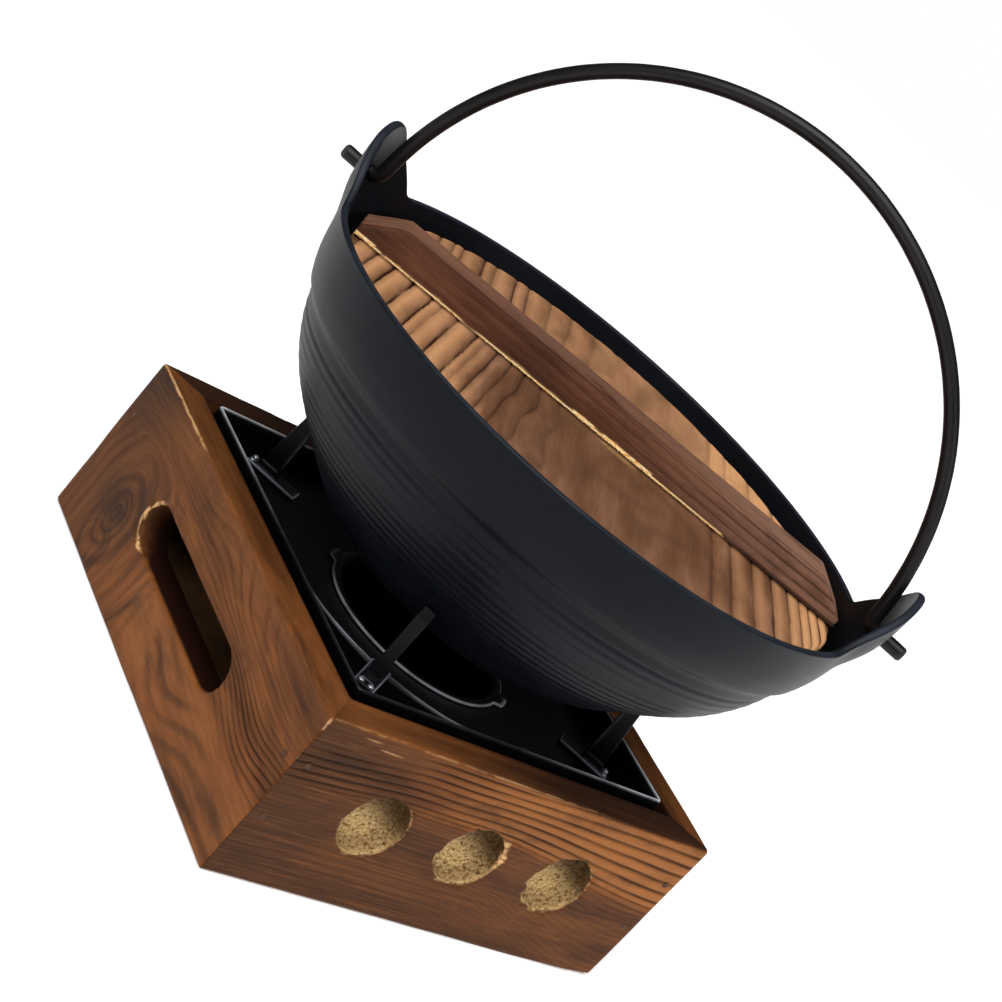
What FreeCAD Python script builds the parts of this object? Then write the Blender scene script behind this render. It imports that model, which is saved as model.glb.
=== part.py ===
import FreeCAD, Part
import math
import os

# Tabletop hibachi: a wooden stove box with a black burner tray and four pot claws, a flared
# iron pot with a swinging bail, and a wooden drop-in lid.
# Millimetres. +Z is up. The origin is the centre of the stove's footprint, on the table.
# The side boards face -X, +X, -Y and +Y, and the corner at (-X, -Y) is the front one.

V = FreeCAD.Vector
Z_AXIS = V(0, 0, 1)

# ---- wooden stove box ----
BOX = 190.0                 # outer side of the square box
BOX_HEIGHT = 70.0
BOARD = 14.5                # thickness of the side boards
CORNER_ROUND = 1.6          # rounding of the box's upright corners
TOP_ROUND = 1.3             # rounding of the upper outer edge
FOOT_ROUND = 0.8            # rounding of the lower outer edge
SLOT_LENGTH = 90.0          # hand slots in the two boards that face -X and +X
SLOT_WIDTH = 18.0
SLOT_HEIGHT = 36.0          # height of the slots' middle line
SLOT_ROUND = 1.2
RECESS_DIAMETER = 25.5      # drilled blind recesses in the boards that face -Y and +Y
RECESS_DEPTH = 7.0
RECESS_SPACING = 45.5
RECESS_SHIFT = 2.0          # the row of recesses sits this far off the board's middle
RECESS_HEIGHT = 35.5
PANEL = 6.0                 # base panel, held in a groove around the four boards
PANEL_BOTTOM = 4.0
PANEL_PLAY = 0.1            # all around the panel in its groove
GROOVE = 5.0
LEDGER_WIDTH = 9.0          # strips inside the boards that carry the burner tray
LEDGER_HEIGHT = 12.0
BRAD_DIAMETER = 1.5
BRAD_HEAD = 2.4
BRAD_HEAD_DEPTH = 1.2
BRAD_LENGTH = 24.0
BRAD_INSET = 6.05           # from the box's corner to a brad
BRAD_SUNK = 0.15            # the heads sit this far below the face
RECESS_BRAD_HEIGHTS = [27.0, 50.0]
SLOT_BRAD_HEIGHTS = [48.0]
LEDGER_NAIL = 1.4
LEDGER_NAIL_LENGTH = 18.0
LEDGER_NAIL_PLACES = [-50.0, 50.0]

# ---- burner tray and claws ----
TRAY = 154.4                # outer side of the square tray
TRAY_TOP = 71.8             # the rim stands proud of the boards
TRAY_FLOOR = 63.7           # upper face of the tray's floor
TRAY_WALL = 1.8
TRAY_CORNER = 3.0
DISH_RADIUS = 64.2          # where the floor starts to slope towards the burner hole
DISH_DEPTH = 5.8
LIP_RADIUS = 40.4           # flat lip at the bottom of the dish, around the hole
HOLE_RADIUS = 37.0
CLAW_INNER = 75.3           # distances from the stove's axis, along the diagonals
CLAW_TOP_OUTER = 80.6
CLAW_BASE_OUTER = 84.0
CLAW_SHOULDER = 2.5         # the tip's outer corner is cut back from this far down
CLAW_THICKNESS = 4.8
CLAW_GAP = 0.35             # between the claws' tips and the pot
FOOT_INNER = 65.2
FOOT_OUTER = 88.0
FOOT_WIDTH = 8.6
FOOT_THICKNESS = 1.6
FOOT_CHAMFER = 0.4
RIVET_DISTANCE = 86.0       # of each claw's pair of rivets, from the stove's axis
RIVET_SPREAD = 2.0
RIVET_HEAD = 2.6
RIVET_DOME = 0.8            # height of the domed heads
RIVET_SHANK = 1.4

# ---- fuel cup ----
CUP_FLANGE = 39.4           # radius of the rolled rim that hangs in the tray's hole
CUP_RADIUS = 36.4
CUP_SHOULDER_RADIUS = 34.4  # the side draws in to this radius above the rounded bottom
CUP_BASE_RADIUS = 28.4
CUP_BOTTOM = 24.0
CUP_SHOULDER = 6.0          # height of the rounded bottom
CUP_WALL = 1.2
CUP_TAB = 3.2               # finger tabs on the cup's rim
CUP_TAB_WIDTH = 9.0
CUP_TAB_THICKNESS = 1.0
CUP_TURN = -45.0            # the tabs lie along the stove's diagonal

# ---- pot, as drawn about its own axis with its ears along X ----
POT_TURN = -47.0            # the ears lie about across the stove's diagonal
POT_RIM = 166.0
POT_WALL = 3.0
POT_BASE = 84.0             # underside of the flat bottom
# outer profile of the pot, radius and height, from the rim down: the plain band
BAND = [(118.6, 166.0), (117.5, 158.0), (115.8, 150.0), (113.4, 143.5)]
# and the bowl below the small step, down to the flat bottom
BOWL = [(109.9, 138.6), (106.4, 129.0), (99.8, 118.0), (91.7, 109.0), (81.5, 100.0), (71.0, 91.0)]
BOTTOM_RADIUS = 60.5
LIP_RISE = 0.9              # the rim's top edge is rounded by this much
STEP_BULGE = 0.6            # the step between band and bowl is rounded
LEDGE_HEIGHT = 146.0        # inner ledge that the lid rests on
LEDGE_RADIUS = 106.2
LEDGE_DRAFT = 1.3           # the wall above the ledge leans in by this much
EAR_TOP = 193.6
EAR_ROUND = 24.0            # radius of the ear's round top
EAR_ROOT = 38.0             # half width where the ear leaves the rim
EAR_FILLET = 11.0
EAR_THICKNESS = 3.0
EAR_SPAN = 24.0             # half the angle that the ear's curved wall covers
EAR_SKIRT = 5.0             # the ear overlaps the band by this much at its sides
EAR_SKIRT_MIDDLE = 11.0     # and by this much in the middle
# outer face of the ears, radius and height
EAR_FACE = [(117.9, 159.0), (120.4, 164.0), (122.2, 168.5), (123.3, 173.0), (124.3, 181.0), (124.8, 197.0)]

# ---- bail ----
PIN_HEIGHT = 173.1
ROD = 5.6                   # diameter of the bail's rod
PIN_FIT = 0.08              # radial clearance of the rod's ends in the ear holes
BAIL_RADIUS = 116.4
BAIL_DROP = 3.9             # the arc's centre lies this far below the pins
ELBOW = 3.8                 # bend radius where the rod turns outwards into the ears
PIN_REACH = 132.4           # end of the rod, from the pot's axis

# ---- lid ----
LID_TURN = 11.2             # the batten is turned this far from the line of the ears
LID_RADIUS = 110.0
LID_TOP = 161.0
LID_THICKNESS = 14.7
LID_ROUND = 2.2
BATTEN_BASE = 23.0
BATTEN_TOP = 18.5
BATTEN_HEIGHT = 12.0
BATTEN_END_RISE = 3.6       # upright part of the batten's ends, below the slope
BATTEN_SLOPE = 13.5         # how far the sloped ends run back
BATTEN_ROUND = 0.9
BATTEN_SETBACK = 0.2        # the batten's ends stop this far inside the lid's edge
LID_SCREW = 3.4
LID_SCREW_HEAD = 6.6
LID_SCREW_SINK = 2.2        # height of the countersunk head
LID_SCREW_LENGTH = 22.0
LID_SCREW_PLACES = [-82.0, -30.0, 30.0, 82.0]

HALF = BOX / 2.0
INNER = HALF - BOARD
LEDGER_TOP = TRAY_FLOOR - TRAY_WALL
DISH_FLOOR = TRAY_FLOOR - DISH_DEPTH
LID_UNDER = LID_TOP - LID_THICKNESS
BEYOND = 2.0                # how far a cutter runs past the faces that it cuts


def prism(points, bottom, top):
    """Upright prism over a closed outline of (x, y) points."""
    outline = [V(x, y, bottom) for x, y in points]
    wire = Part.makePolygon(outline + outline[:1])
    return Part.Face(wire).extrude(V(0, 0, top - bottom))


def cuboid(low, high):
    size = [high[i] - low[i] for i in range(3)]
    return Part.makeBox(size[0], size[1], size[2], V(*low))


def turned(shape, degrees):
    """The same shape, turned about the upright axis through the origin."""
    copy = shape.copy()
    copy.rotate(V(0, 0, 0), Z_AXIS, degrees)
    return copy


def revolved(profile):
    """Solid of revolution about the Z axis of a closed profile of (radius, height) points."""
    outline = [V(radius, 0, height) for radius, height in profile]
    wire = Part.makePolygon(outline + outline[:1])
    return Part.Face(wire).revolve(V(0, 0, 0), Z_AXIS, 360)


def revolved_face(edges):
    return Part.Face(Part.Wire(edges)).revolve(V(0, 0, 0), Z_AXIS, 360)


def smooth_curve(points):
    """Spline edge in the XZ plane through (radius, height) points."""
    curve = Part.BSplineCurve()
    curve.interpolate([V(radius, 0, height) for radius, height in points])
    return curve.toShape()


def line(start, end):
    return Part.LineSegment(start, end).toShape()


def group(shapes):
    return Part.makeCompound(shapes)


def save(name, shape):
    shape.exportStep("parts/" + name + ".step")


# ---------------------------------------------------------------- wooden stove box

def edges_where(shape, test):
    return [edge for edge in shape.Edges if test(edge.BoundBox)]


def box_block():
    """The outside of the whole box as one rounded block."""
    block = cuboid((-HALF, -HALF, 0), (HALF, HALF, BOX_HEIGHT))
    upright = edges_where(block, lambda box: box.ZLength > BOX_HEIGHT - 1)
    block = block.makeFillet(CORNER_ROUND, upright)
    upper = edges_where(block, lambda box: box.ZMin > BOX_HEIGHT - 0.01)
    block = block.makeFillet(TOP_ROUND, upper)
    lower = edges_where(block, lambda box: box.ZMax < 0.01)
    return block.makeFillet(FOOT_ROUND, lower)


def panel_block(play):
    reach = INNER + GROOVE - play
    return cuboid((-reach, -reach, PANEL_BOTTOM + play), (reach, reach, PANEL_BOTTOM + PANEL - play))


def plain_board():
    """The mitred board that faces -X, with the groove for the base panel."""
    far = HALF + BEYOND
    wedge = prism([(-far, -far), (-INNER, -INNER), (-INNER, INNER), (-far, far)],
                  -BEYOND, BOX_HEIGHT + BEYOND)
    return box_block().common(wedge).cut(panel_block(0.0))


def slot_cutter():
    """Cutter with round ends along Y for the hand slot in the board that faces -X."""
    reach = SLOT_LENGTH / 2 - SLOT_WIDTH / 2
    half = SLOT_WIDTH / 2
    x = -HALF - BEYOND
    corners = [(-reach, half), (reach, half), (reach, -half), (-reach, -half)]
    a, b, c, d = [V(x, y, SLOT_HEIGHT + z) for y, z in corners]
    right = Part.Arc(b, V(x, reach + half, SLOT_HEIGHT), c).toShape()
    left = Part.Arc(d, V(x, -reach - half, SLOT_HEIGHT), a).toShape()
    wire = Part.Wire([line(a, b), right, line(c, d), left])
    return Part.Face(wire).extrude(V(BOARD + 2 * BEYOND, 0, 0))


def slot_board():
    """The board that faces -X; the outer edge of its slot is rounded."""
    board = plain_board().cut(slot_cutter())
    low = SLOT_HEIGHT - SLOT_WIDTH / 2 - BEYOND
    high = SLOT_HEIGHT + SLOT_WIDTH / 2 + BEYOND
    mouth = edges_where(board, lambda box: abs(box.XMax + HALF) < 0.01 and box.ZMin > low and box.ZMax < high)
    return board.makeFillet(SLOT_ROUND, mouth)


def recess_board():
    """Drawn facing -X; its row of blind recesses runs along Y."""
    board = plain_board()
    for step in (-1, 0, 1):
        mouth = V(-HALF - BEYOND, step * RECESS_SPACING + RECESS_SHIFT, RECESS_HEIGHT)
        drill = Part.makeCylinder(RECESS_DIAMETER / 2, RECESS_DEPTH + BEYOND, mouth, V(1, 0, 0))
        board = board.cut(drill)
    return board


def brad(start):
    """Headed brad driven in along +Y."""
    shank = Part.makeCylinder(BRAD_DIAMETER / 2, BRAD_LENGTH, start, V(0, 1, 0))
    head = Part.makeCylinder(BRAD_HEAD / 2, BRAD_HEAD_DEPTH, start, V(0, 1, 0))
    return shank.fuse(head).removeSplitter()


def corner_brads():
    """Brads through the mitres: two at each end of a recess board, one of a slot board."""
    brads = []
    for turn in (0, 90, 180, 270):
        heights = RECESS_BRAD_HEIGHTS if turn in (0, 180) else SLOT_BRAD_HEIGHTS
        for height in heights:
            for end in (-1, 1):
                start = V(end * (HALF - BRAD_INSET), -HALF + BRAD_SUNK, height)
                brads.append(turned(brad(start), turn))
    return brads


def ledger(long_strip):
    """Strip inside the board that faces -X, below the tray."""
    half_length = INNER if long_strip else INNER - LEDGER_WIDTH
    return cuboid((-INNER, -half_length, LEDGER_TOP - LEDGER_HEIGHT),
                  (-INNER + LEDGER_WIDTH, half_length, LEDGER_TOP))


def ledger_nails():
    nails = []
    for turn in (0, 90, 180, 270):
        for place in LEDGER_NAIL_PLACES:
            start = V(-INNER + LEDGER_WIDTH, place, LEDGER_TOP - LEDGER_HEIGHT / 2)
            nail = Part.makeCylinder(LEDGER_NAIL / 2, LEDGER_NAIL_LENGTH, start, V(-1, 0, 0))
            nails.append(turned(nail, turn))
    return nails


# ---------------------------------------------------------------- burner tray

def rounded_square(side, corner, bottom, top):
    half = side / 2
    block = cuboid((-half, -half, bottom), (half, half, top))
    upright = edges_where(block, lambda box: box.ZLength > top - bottom - 0.01)
    return block.makeFillet(corner, upright)


def tray():
    """Shallow square pan whose floor dishes down to the burner hole."""
    pan = rounded_square(TRAY, TRAY_CORNER, LEDGER_TOP, TRAY_TOP)
    well = rounded_square(TRAY - 2 * TRAY_WALL, TRAY_CORNER - TRAY_WALL, TRAY_FLOOR, TRAY_TOP + BEYOND)
    lip_under = DISH_FLOOR - TRAY_WALL
    dish_outside = revolved([(0, LEDGER_TOP), (DISH_RADIUS + 1, LEDGER_TOP),
                             (LIP_RADIUS + 1, lip_under), (0, lip_under)])
    dish_inside = revolved([(0, TRAY_FLOOR + BEYOND), (DISH_RADIUS, TRAY_FLOOR + BEYOND),
                            (DISH_RADIUS, TRAY_FLOOR), (LIP_RADIUS, DISH_FLOOR), (0, DISH_FLOOR)])
    hole = Part.makeCylinder(HOLE_RADIUS, TRAY_TOP, V(0, 0, 0))
    return pan.cut(well).fuse(dish_outside).cut(dish_inside).cut(hole).removeSplitter()


def rivet_shank(side):
    """Shank through a claw's foot and the tray's floor, drawn beside the +X axis."""
    start = V(RIVET_DISTANCE, side * RIVET_SPREAD, LEDGER_TOP)
    return Part.makeCylinder(RIVET_SHANK / 2, TRAY_WALL + FOOT_THICKNESS, start)


def rivets():
    """The pair of rivets that hold one claw's foot to the tray, drawn on the +X axis."""
    pair = []
    top = TRAY_FLOOR + FOOT_THICKNESS
    for side in (-1, 1):
        centre = V(RIVET_DISTANCE, side * RIVET_SPREAD, top + RIVET_DOME - RIVET_HEAD / 2)
        above = Part.makeCylinder(RIVET_HEAD, RIVET_HEAD, V(centre.x, centre.y, top))
        dome = Part.makeSphere(RIVET_HEAD / 2, centre).common(above)
        pair.append(rivet_shank(side).fuse(dome).removeSplitter())
    return pair


def claw_height_at(radius):
    """Height of the claws' tips at a radius: the gap below the bowl's lowest stretch."""
    (r0, z0), (r1, z1) = BOWL[-1], BOWL[-2]
    slope = math.atan2(z1 - z0, r1 - r0)
    return z0 + math.tan(slope) * (radius - r0) - CLAW_GAP / math.cos(slope)


def claw():
    """Radial fin on a small foot, drawn on the +X axis. Its tip follows the bowl."""
    base = TRAY_FLOOR + FOOT_THICKNESS
    corner = CLAW_TOP_OUTER - CLAW_SHOULDER / 2
    outline = [(CLAW_INNER, base), (CLAW_BASE_OUTER, base),
               (CLAW_TOP_OUTER, claw_height_at(CLAW_TOP_OUTER) - CLAW_SHOULDER),
               (corner, claw_height_at(corner)), (CLAW_INNER, claw_height_at(CLAW_INNER))]
    points = [V(x, -CLAW_THICKNESS / 2, z) for x, z in outline]
    fin = Part.Face(Part.makePolygon(points + points[:1])).extrude(V(0, CLAW_THICKNESS, 0))
    foot = cuboid((FOOT_INNER, -FOOT_WIDTH / 2, TRAY_FLOOR), (FOOT_OUTER, FOOT_WIDTH / 2, base))
    edges = edges_where(foot, lambda box: box.ZMin > base - 0.01)
    whole = foot.makeChamfer(FOOT_CHAMFER, edges).fuse(fin).removeSplitter()
    return whole.cut([rivet_shank(-1), rivet_shank(1)])


# ---------------------------------------------------------------- fuel cup

def fuel_cup():
    """Deep pressed cup with a rolled rim that hangs in the tray's hole, and two finger tabs."""
    top = DISH_FLOOR + CUP_WALL
    shoulder = CUP_BOTTOM + CUP_SHOULDER
    profile = [(0, CUP_BOTTOM), (CUP_BASE_RADIUS, CUP_BOTTOM), (CUP_SHOULDER_RADIUS, shoulder),
               (CUP_RADIUS, DISH_FLOOR), (CUP_FLANGE, DISH_FLOOR), (CUP_FLANGE, top),
               (CUP_RADIUS - CUP_WALL, top), (CUP_SHOULDER_RADIUS - CUP_WALL, shoulder + CUP_WALL / 3),
               (CUP_BASE_RADIUS - CUP_WALL / 3, CUP_BOTTOM + CUP_WALL), (0, CUP_BOTTOM + CUP_WALL)]
    overlap = CUP_TAB_THICKNESS / 5
    tab = cuboid((CUP_FLANGE - 1, -CUP_TAB_WIDTH / 2, top - overlap),
                 (CUP_FLANGE + CUP_TAB, CUP_TAB_WIDTH / 2, top - overlap + CUP_TAB_THICKNESS))
    cup = revolved(profile).fuse([tab, turned(tab, 180)])
    return turned(cup.removeSplitter(), CUP_TURN)


# ---------------------------------------------------------------- pot

def inner_bowl():
    """Inner profile of the pot below the ledge: the bowl's outside moved in by the wall."""
    points = []
    for i, (radius, height) in enumerate(BOWL):
        r0, z0 = BOWL[max(i - 1, 0)]
        r1, z1 = BOWL[min(i + 1, len(BOWL) - 1)]
        length = math.hypot(r1 - r0, z1 - z0)
        points.append((radius + (z1 - z0) / length * POT_WALL, height - (r1 - r0) / length * POT_WALL))
    return points


def pot_shell():
    """Lathe-turned body: flared band, rounded step, bowl and flat bottom."""
    def at(point):
        return V(point[0], 0, point[1])

    inside = inner_bowl()
    band_in = [(radius - POT_WALL, height) for radius, height in BAND[:3]]
    ledge_wall = (band_in[-1][0] - LEDGE_DRAFT, LEDGE_HEIGHT)
    ledge = (LEDGE_RADIUS, LEDGE_HEIGHT)
    step_low = BOWL[0]
    step_high = BAND[-1]
    bottom = (BOTTOM_RADIUS, POT_BASE)
    axis_low = (0, POT_BASE)
    axis_high = (0, POT_BASE + POT_WALL)
    floor = (BOTTOM_RADIUS - POT_WALL, POT_BASE + POT_WALL)
    lip_top = (BAND[0][0] - POT_WALL / 2, POT_RIM + LIP_RISE)
    step_middle = (step_high[0] - STEP_BULGE, (step_high[1] + step_low[1]) / 2 - STEP_BULGE)
    edges = [
        smooth_curve(BAND),
        Part.Arc(at(step_high), at(step_middle), at(step_low)).toShape(),
        smooth_curve(BOWL + [bottom]),
        line(at(bottom), at(axis_low)),
        line(at(axis_low), at(axis_high)),
        line(at(axis_high), at(floor)),
        smooth_curve([floor] + inside[::-1]),
        line(at(inside[0]), at(ledge)),
        line(at(ledge), at(ledge_wall)),
        smooth_curve([ledge_wall] + band_in[::-1]),
        Part.Arc(at(band_in[0]), at(lip_top), at(BAND[0])).toShape(),
    ]
    return revolved_face(edges)


def ear():
    """Round-topped lug that carries the band on upwards, drawn on the +X side."""
    outer = EAR_FACE
    inner = [(radius - EAR_THICKNESS, height) for radius, height in EAR_FACE]
    outer_edge = smooth_curve(outer)
    inner_edge = smooth_curve(inner[::-1])
    top = line(V(outer[-1][0], 0, outer[-1][1]), V(inner[-1][0], 0, inner[-1][1]))
    foot = line(V(inner[0][0], 0, inner[0][1]), V(outer[0][0], 0, outer[0][1]))
    section = Part.Face(Part.Wire([outer_edge, top, inner_edge, foot]))
    ring = turned(section.revolve(V(0, 0, 0), Z_AXIS, 2 * EAR_SPAN), -EAR_SPAN)
    return ring.common(ear_outline().extrude(V(POT_RIM, 0, 0)))


def ear_outline():
    """Upright face at x = 0 with the ear's outline: round top, straight 45 degree shoulders
    and fillets into the rim."""
    centre = EAR_TOP - EAR_ROUND
    shoulder = EAR_ROUND * math.sqrt(0.5)
    # the fillet is tangent to the shoulder and to the rim
    fillet_z = POT_RIM + EAR_FILLET
    fillet_y = (centre + shoulder - fillet_z) + shoulder + EAR_FILLET * math.sqrt(2)
    touch = EAR_FILLET * math.sqrt(0.5)
    middle = math.radians(22.5)
    right = [V(0, shoulder, centre + shoulder),
             V(0, fillet_y - touch, fillet_z - touch),
             V(0, fillet_y - EAR_FILLET * math.sin(middle), fillet_z - EAR_FILLET * math.cos(middle)),
             V(0, fillet_y, POT_RIM),
             V(0, fillet_y - POT_WALL, POT_RIM - EAR_SKIRT)]
    left = [V(0, -point.y, point.z) for point in right]
    return Part.Face(Part.Wire([
        Part.Arc(left[0], V(0, 0, EAR_TOP), right[0]).toShape(),
        line(right[0], right[1]),
        Part.Arc(right[1], right[2], right[3]).toShape(),
        line(right[3], right[4]),
        Part.Arc(right[4], V(0, 0, POT_RIM - EAR_SKIRT_MIDDLE), left[4]).toShape(),
        line(left[4], left[3]),
        Part.Arc(left[3], left[2], left[1]).toShape(),
        line(left[1], left[0]),
    ]))


def pot():
    """The shell with its two ears, and the bail's holes through them."""
    one_ear = ear()
    body = pot_shell().fuse([one_ear, turned(one_ear, 180)])
    reach = PIN_REACH + BEYOND
    holes = Part.makeCylinder(ROD / 2 + PIN_FIT, 2 * reach, V(-reach, 0, PIN_HEIGHT), V(1, 0, 0))
    return turned(body.cut(holes).removeSplitter(), POT_TURN)


# ---------------------------------------------------------------- bail

def bail():
    """Round rod bent to an arch, with both ends turned outwards through the ears."""
    arc_centre = PIN_HEIGHT - BAIL_DROP
    elbow_x = math.sqrt((BAIL_RADIUS + ELBOW) ** 2 - (ELBOW + BAIL_DROP) ** 2)
    scale = BAIL_RADIUS / (BAIL_RADIUS + ELBOW)
    join = (elbow_x * scale, arc_centre + (ELBOW + BAIL_DROP) * scale)
    to_join = math.atan2(join[1] - PIN_HEIGHT - ELBOW, join[0] - elbow_x)
    middle = (math.radians(270) + to_join % (2 * math.pi)) / 2
    bend = V(elbow_x + ELBOW * math.cos(middle), 0, PIN_HEIGHT + ELBOW + ELBOW * math.sin(middle))

    def mirrored(point):
        return V(-point.x, 0, point.z)

    end = V(PIN_REACH, 0, PIN_HEIGHT)
    start_bend = V(elbow_x, 0, PIN_HEIGHT)
    joined = V(join[0], 0, join[1])
    apex = V(0, 0, arc_centre + BAIL_RADIUS)
    path = Part.Wire([
        line(mirrored(end), mirrored(start_bend)),
        Part.Arc(mirrored(start_bend), mirrored(bend), mirrored(joined)).toShape(),
        Part.Arc(mirrored(joined), apex, joined).toShape(),
        Part.Arc(joined, bend, start_bend).toShape(),
        line(start_bend, end),
    ])
    circle = Part.Wire(Part.Circle(mirrored(end), V(1, 0, 0), ROD / 2).toShape())
    rod = path.makePipeShell([circle], True, False)
    return turned(rod, POT_TURN)


# ---------------------------------------------------------------- lid

def batten():
    """Bar across the lid, narrower at the top, with sloped ends."""
    half_length = math.sqrt(LID_RADIUS ** 2 - (BATTEN_BASE / 2) ** 2)
    top = LID_TOP + BATTEN_HEIGHT
    rise = LID_TOP + BATTEN_END_RISE
    far = half_length + BEYOND
    crest = half_length - BATTEN_SLOPE
    side_view = [(-far, LID_TOP), (far, LID_TOP), (far, rise), (half_length, rise), (crest, top),
                 (-crest, top), (-half_length, rise), (-far, rise)]
    points = [V(x, -BATTEN_BASE, z) for x, z in side_view]
    long_shape = Part.Face(Part.makePolygon(points + points[:1])).extrude(V(0, 2 * BATTEN_BASE, 0))
    section = [(-BATTEN_BASE / 2, LID_TOP), (BATTEN_BASE / 2, LID_TOP),
               (BATTEN_TOP / 2, top), (-BATTEN_TOP / 2, top)]
    points = [V(-far, y, z) for y, z in section]
    bar = Part.Face(Part.makePolygon(points + points[:1])).extrude(V(2 * far, 0, 0))
    upper = edges_where(bar, lambda box: box.ZMin > top - 0.01 and box.XLength > far)
    bar = bar.makeFillet(BATTEN_ROUND, upper)
    round_edge = Part.makeCylinder(LID_RADIUS - BATTEN_SETBACK, top, V(0, 0, 0))
    return bar.common(long_shape).common(round_edge)


def lid_board():
    board = Part.makeCylinder(LID_RADIUS, LID_THICKNESS, V(0, 0, LID_UNDER))
    rims = edges_where(board, lambda box: box.ZLength < 0.01)
    return board.makeFillet(LID_ROUND, rims)


def lid_screw(place):
    """Countersunk screw driven up through the board into the batten."""
    head = Part.makeCone(LID_SCREW_HEAD / 2, LID_SCREW / 2, LID_SCREW_SINK, V(place, 0, LID_UNDER))
    shank = Part.makeCylinder(LID_SCREW / 2, LID_SCREW_LENGTH - LID_SCREW_SINK,
                              V(place, 0, LID_UNDER + LID_SCREW_SINK))
    return head.fuse(shank).removeSplitter()


# ---------------------------------------------------------------- the sub-parts

def build():
    brads = corner_brads()
    nails = ledger_nails()
    brad_holes = group(brads)
    nail_holes = group(nails)
    boards = {"board_slot_left": (slot_board(), 0), "board_recess_front": (recess_board(), 90),
              "board_slot_right": (slot_board(), 180), "board_recess_back": (recess_board(), 270)}
    for name, (board, turn) in boards.items():
        save(name, turned(board, turn).cut(brad_holes).cut(nail_holes))
    save("base_panel", panel_block(PANEL_PLAY))
    for name, turn, long_strip in (("ledger_left", 0, True), ("ledger_front", 90, False),
                                   ("ledger_right", 180, True), ("ledger_back", 270, False)):
        save(name, turned(ledger(long_strip), turn).cut(nail_holes))
    save("corner_brads", brad_holes)
    save("ledger_nails", nail_holes)

    all_rivets = []
    for name, turn in (("claw_front", 225), ("claw_right", 315), ("claw_back", 45), ("claw_left", 135)):
        save(name, turned(claw(), turn))
        all_rivets += [turned(rivet, turn) for rivet in rivets()]
    save("claw_rivets", group(all_rivets))
    save("tray", tray().cut(group(all_rivets)))
    save("fuel_cup", fuel_cup())

    save("pot", pot())
    save("bail", bail())

    screws = group([lid_screw(place) for place in LID_SCREW_PLACES])
    turn = POT_TURN + LID_TURN
    save("lid_board", turned(lid_board().cut(screws), turn))
    save("lid_batten", turned(batten().cut(screws), turn))
    save("lid_screws", turned(screws, turn))


os.makedirs("parts", exist_ok=True)
build()
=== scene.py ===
from contextlib import contextmanager
from itertools import product
from math import atan2, cos, hypot, pi, radians, sin, sqrt, tau

import bmesh
import bpy
import numpy as np
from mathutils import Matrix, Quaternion, Vector


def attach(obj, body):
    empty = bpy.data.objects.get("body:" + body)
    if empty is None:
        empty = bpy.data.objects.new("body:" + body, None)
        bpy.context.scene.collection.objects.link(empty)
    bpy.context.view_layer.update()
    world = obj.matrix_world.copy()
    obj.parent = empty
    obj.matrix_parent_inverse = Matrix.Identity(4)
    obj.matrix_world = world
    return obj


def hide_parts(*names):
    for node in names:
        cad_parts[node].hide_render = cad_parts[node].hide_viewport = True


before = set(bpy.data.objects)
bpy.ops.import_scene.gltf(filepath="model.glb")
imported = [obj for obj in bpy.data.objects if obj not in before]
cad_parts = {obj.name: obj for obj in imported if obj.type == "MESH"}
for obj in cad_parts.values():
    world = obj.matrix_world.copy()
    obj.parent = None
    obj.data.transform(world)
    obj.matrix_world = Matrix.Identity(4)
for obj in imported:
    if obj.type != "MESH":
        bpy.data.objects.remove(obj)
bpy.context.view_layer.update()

# Tabletop hibachi: a brushed and burnt wooden box, a black enamelled burner tray with four
# claws, a cast pot with two ears and a swinging bail, and a wooden drop-in lid.
# Shapes are worked out in millimetres and written to the meshes in metres.
MM = 0.001
CLEAR = 5                                 # how far a cutter reaches past what it cuts

# ---- the camera, rolled because the picture shows the object leaning to the right ----
CAMERA_PLACE = Vector((-0.5238, -0.5326, 0.3464))
CAMERA_HEADING = radians(46.1)         # of the line of sight, from +X towards +Y
CAMERA_PITCH = radians(-17.13)
CAMERA_ROLL = radians(41.56)
CAMERA_LENS, CAMERA_SENSOR = 78.27, 36

# ---- the wooden box ----
HALF, BOX_HEIGHT, BOARD = 95, 70, 14.5
PANEL_REACH, PANEL_LOW, PANEL_HIGH = 85.5, 4, 10
SLOT_REACH, SLOT_HALF, SLOT_HEIGHT = 36, 9, 36
RECESS_PLACES = (-47.5, -2, 43.5)
RECESS_RADIUS, RECESS_DEPTH, RECESS_HEIGHT = 12.75, 7, 35.5
ARRIS = 1.35                                # rounding of the box's worn outer edges
BOX_VOXEL = 0.8
BRAD_INSET, RECESS_BRADS, SLOT_BRADS = 6.05, (27, 50), (48,)
KNOT_U, KNOT_V = 60, 24                 # the knot lies this far left of the middle and up

# ---- the burner tray and the cup ----
TRAY_HALF, TRAY_CORNER, TRAY_WALL, WELL_CORNER = 77.2, 3, 1.8, 1.6
TRAY_TOP, TRAY_FLOOR, TRAY_UNDER = 71.8, 63.7, 61.9
DISH_RADIUS, LIP_RADIUS, HOLE_RADIUS, DISH_FLOOR = 64.2, 40.4, 37, 57.9
DISH_SLOPE = (TRAY_FLOOR - DISH_FLOOR) / (DISH_RADIUS - LIP_RADIUS)
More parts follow.
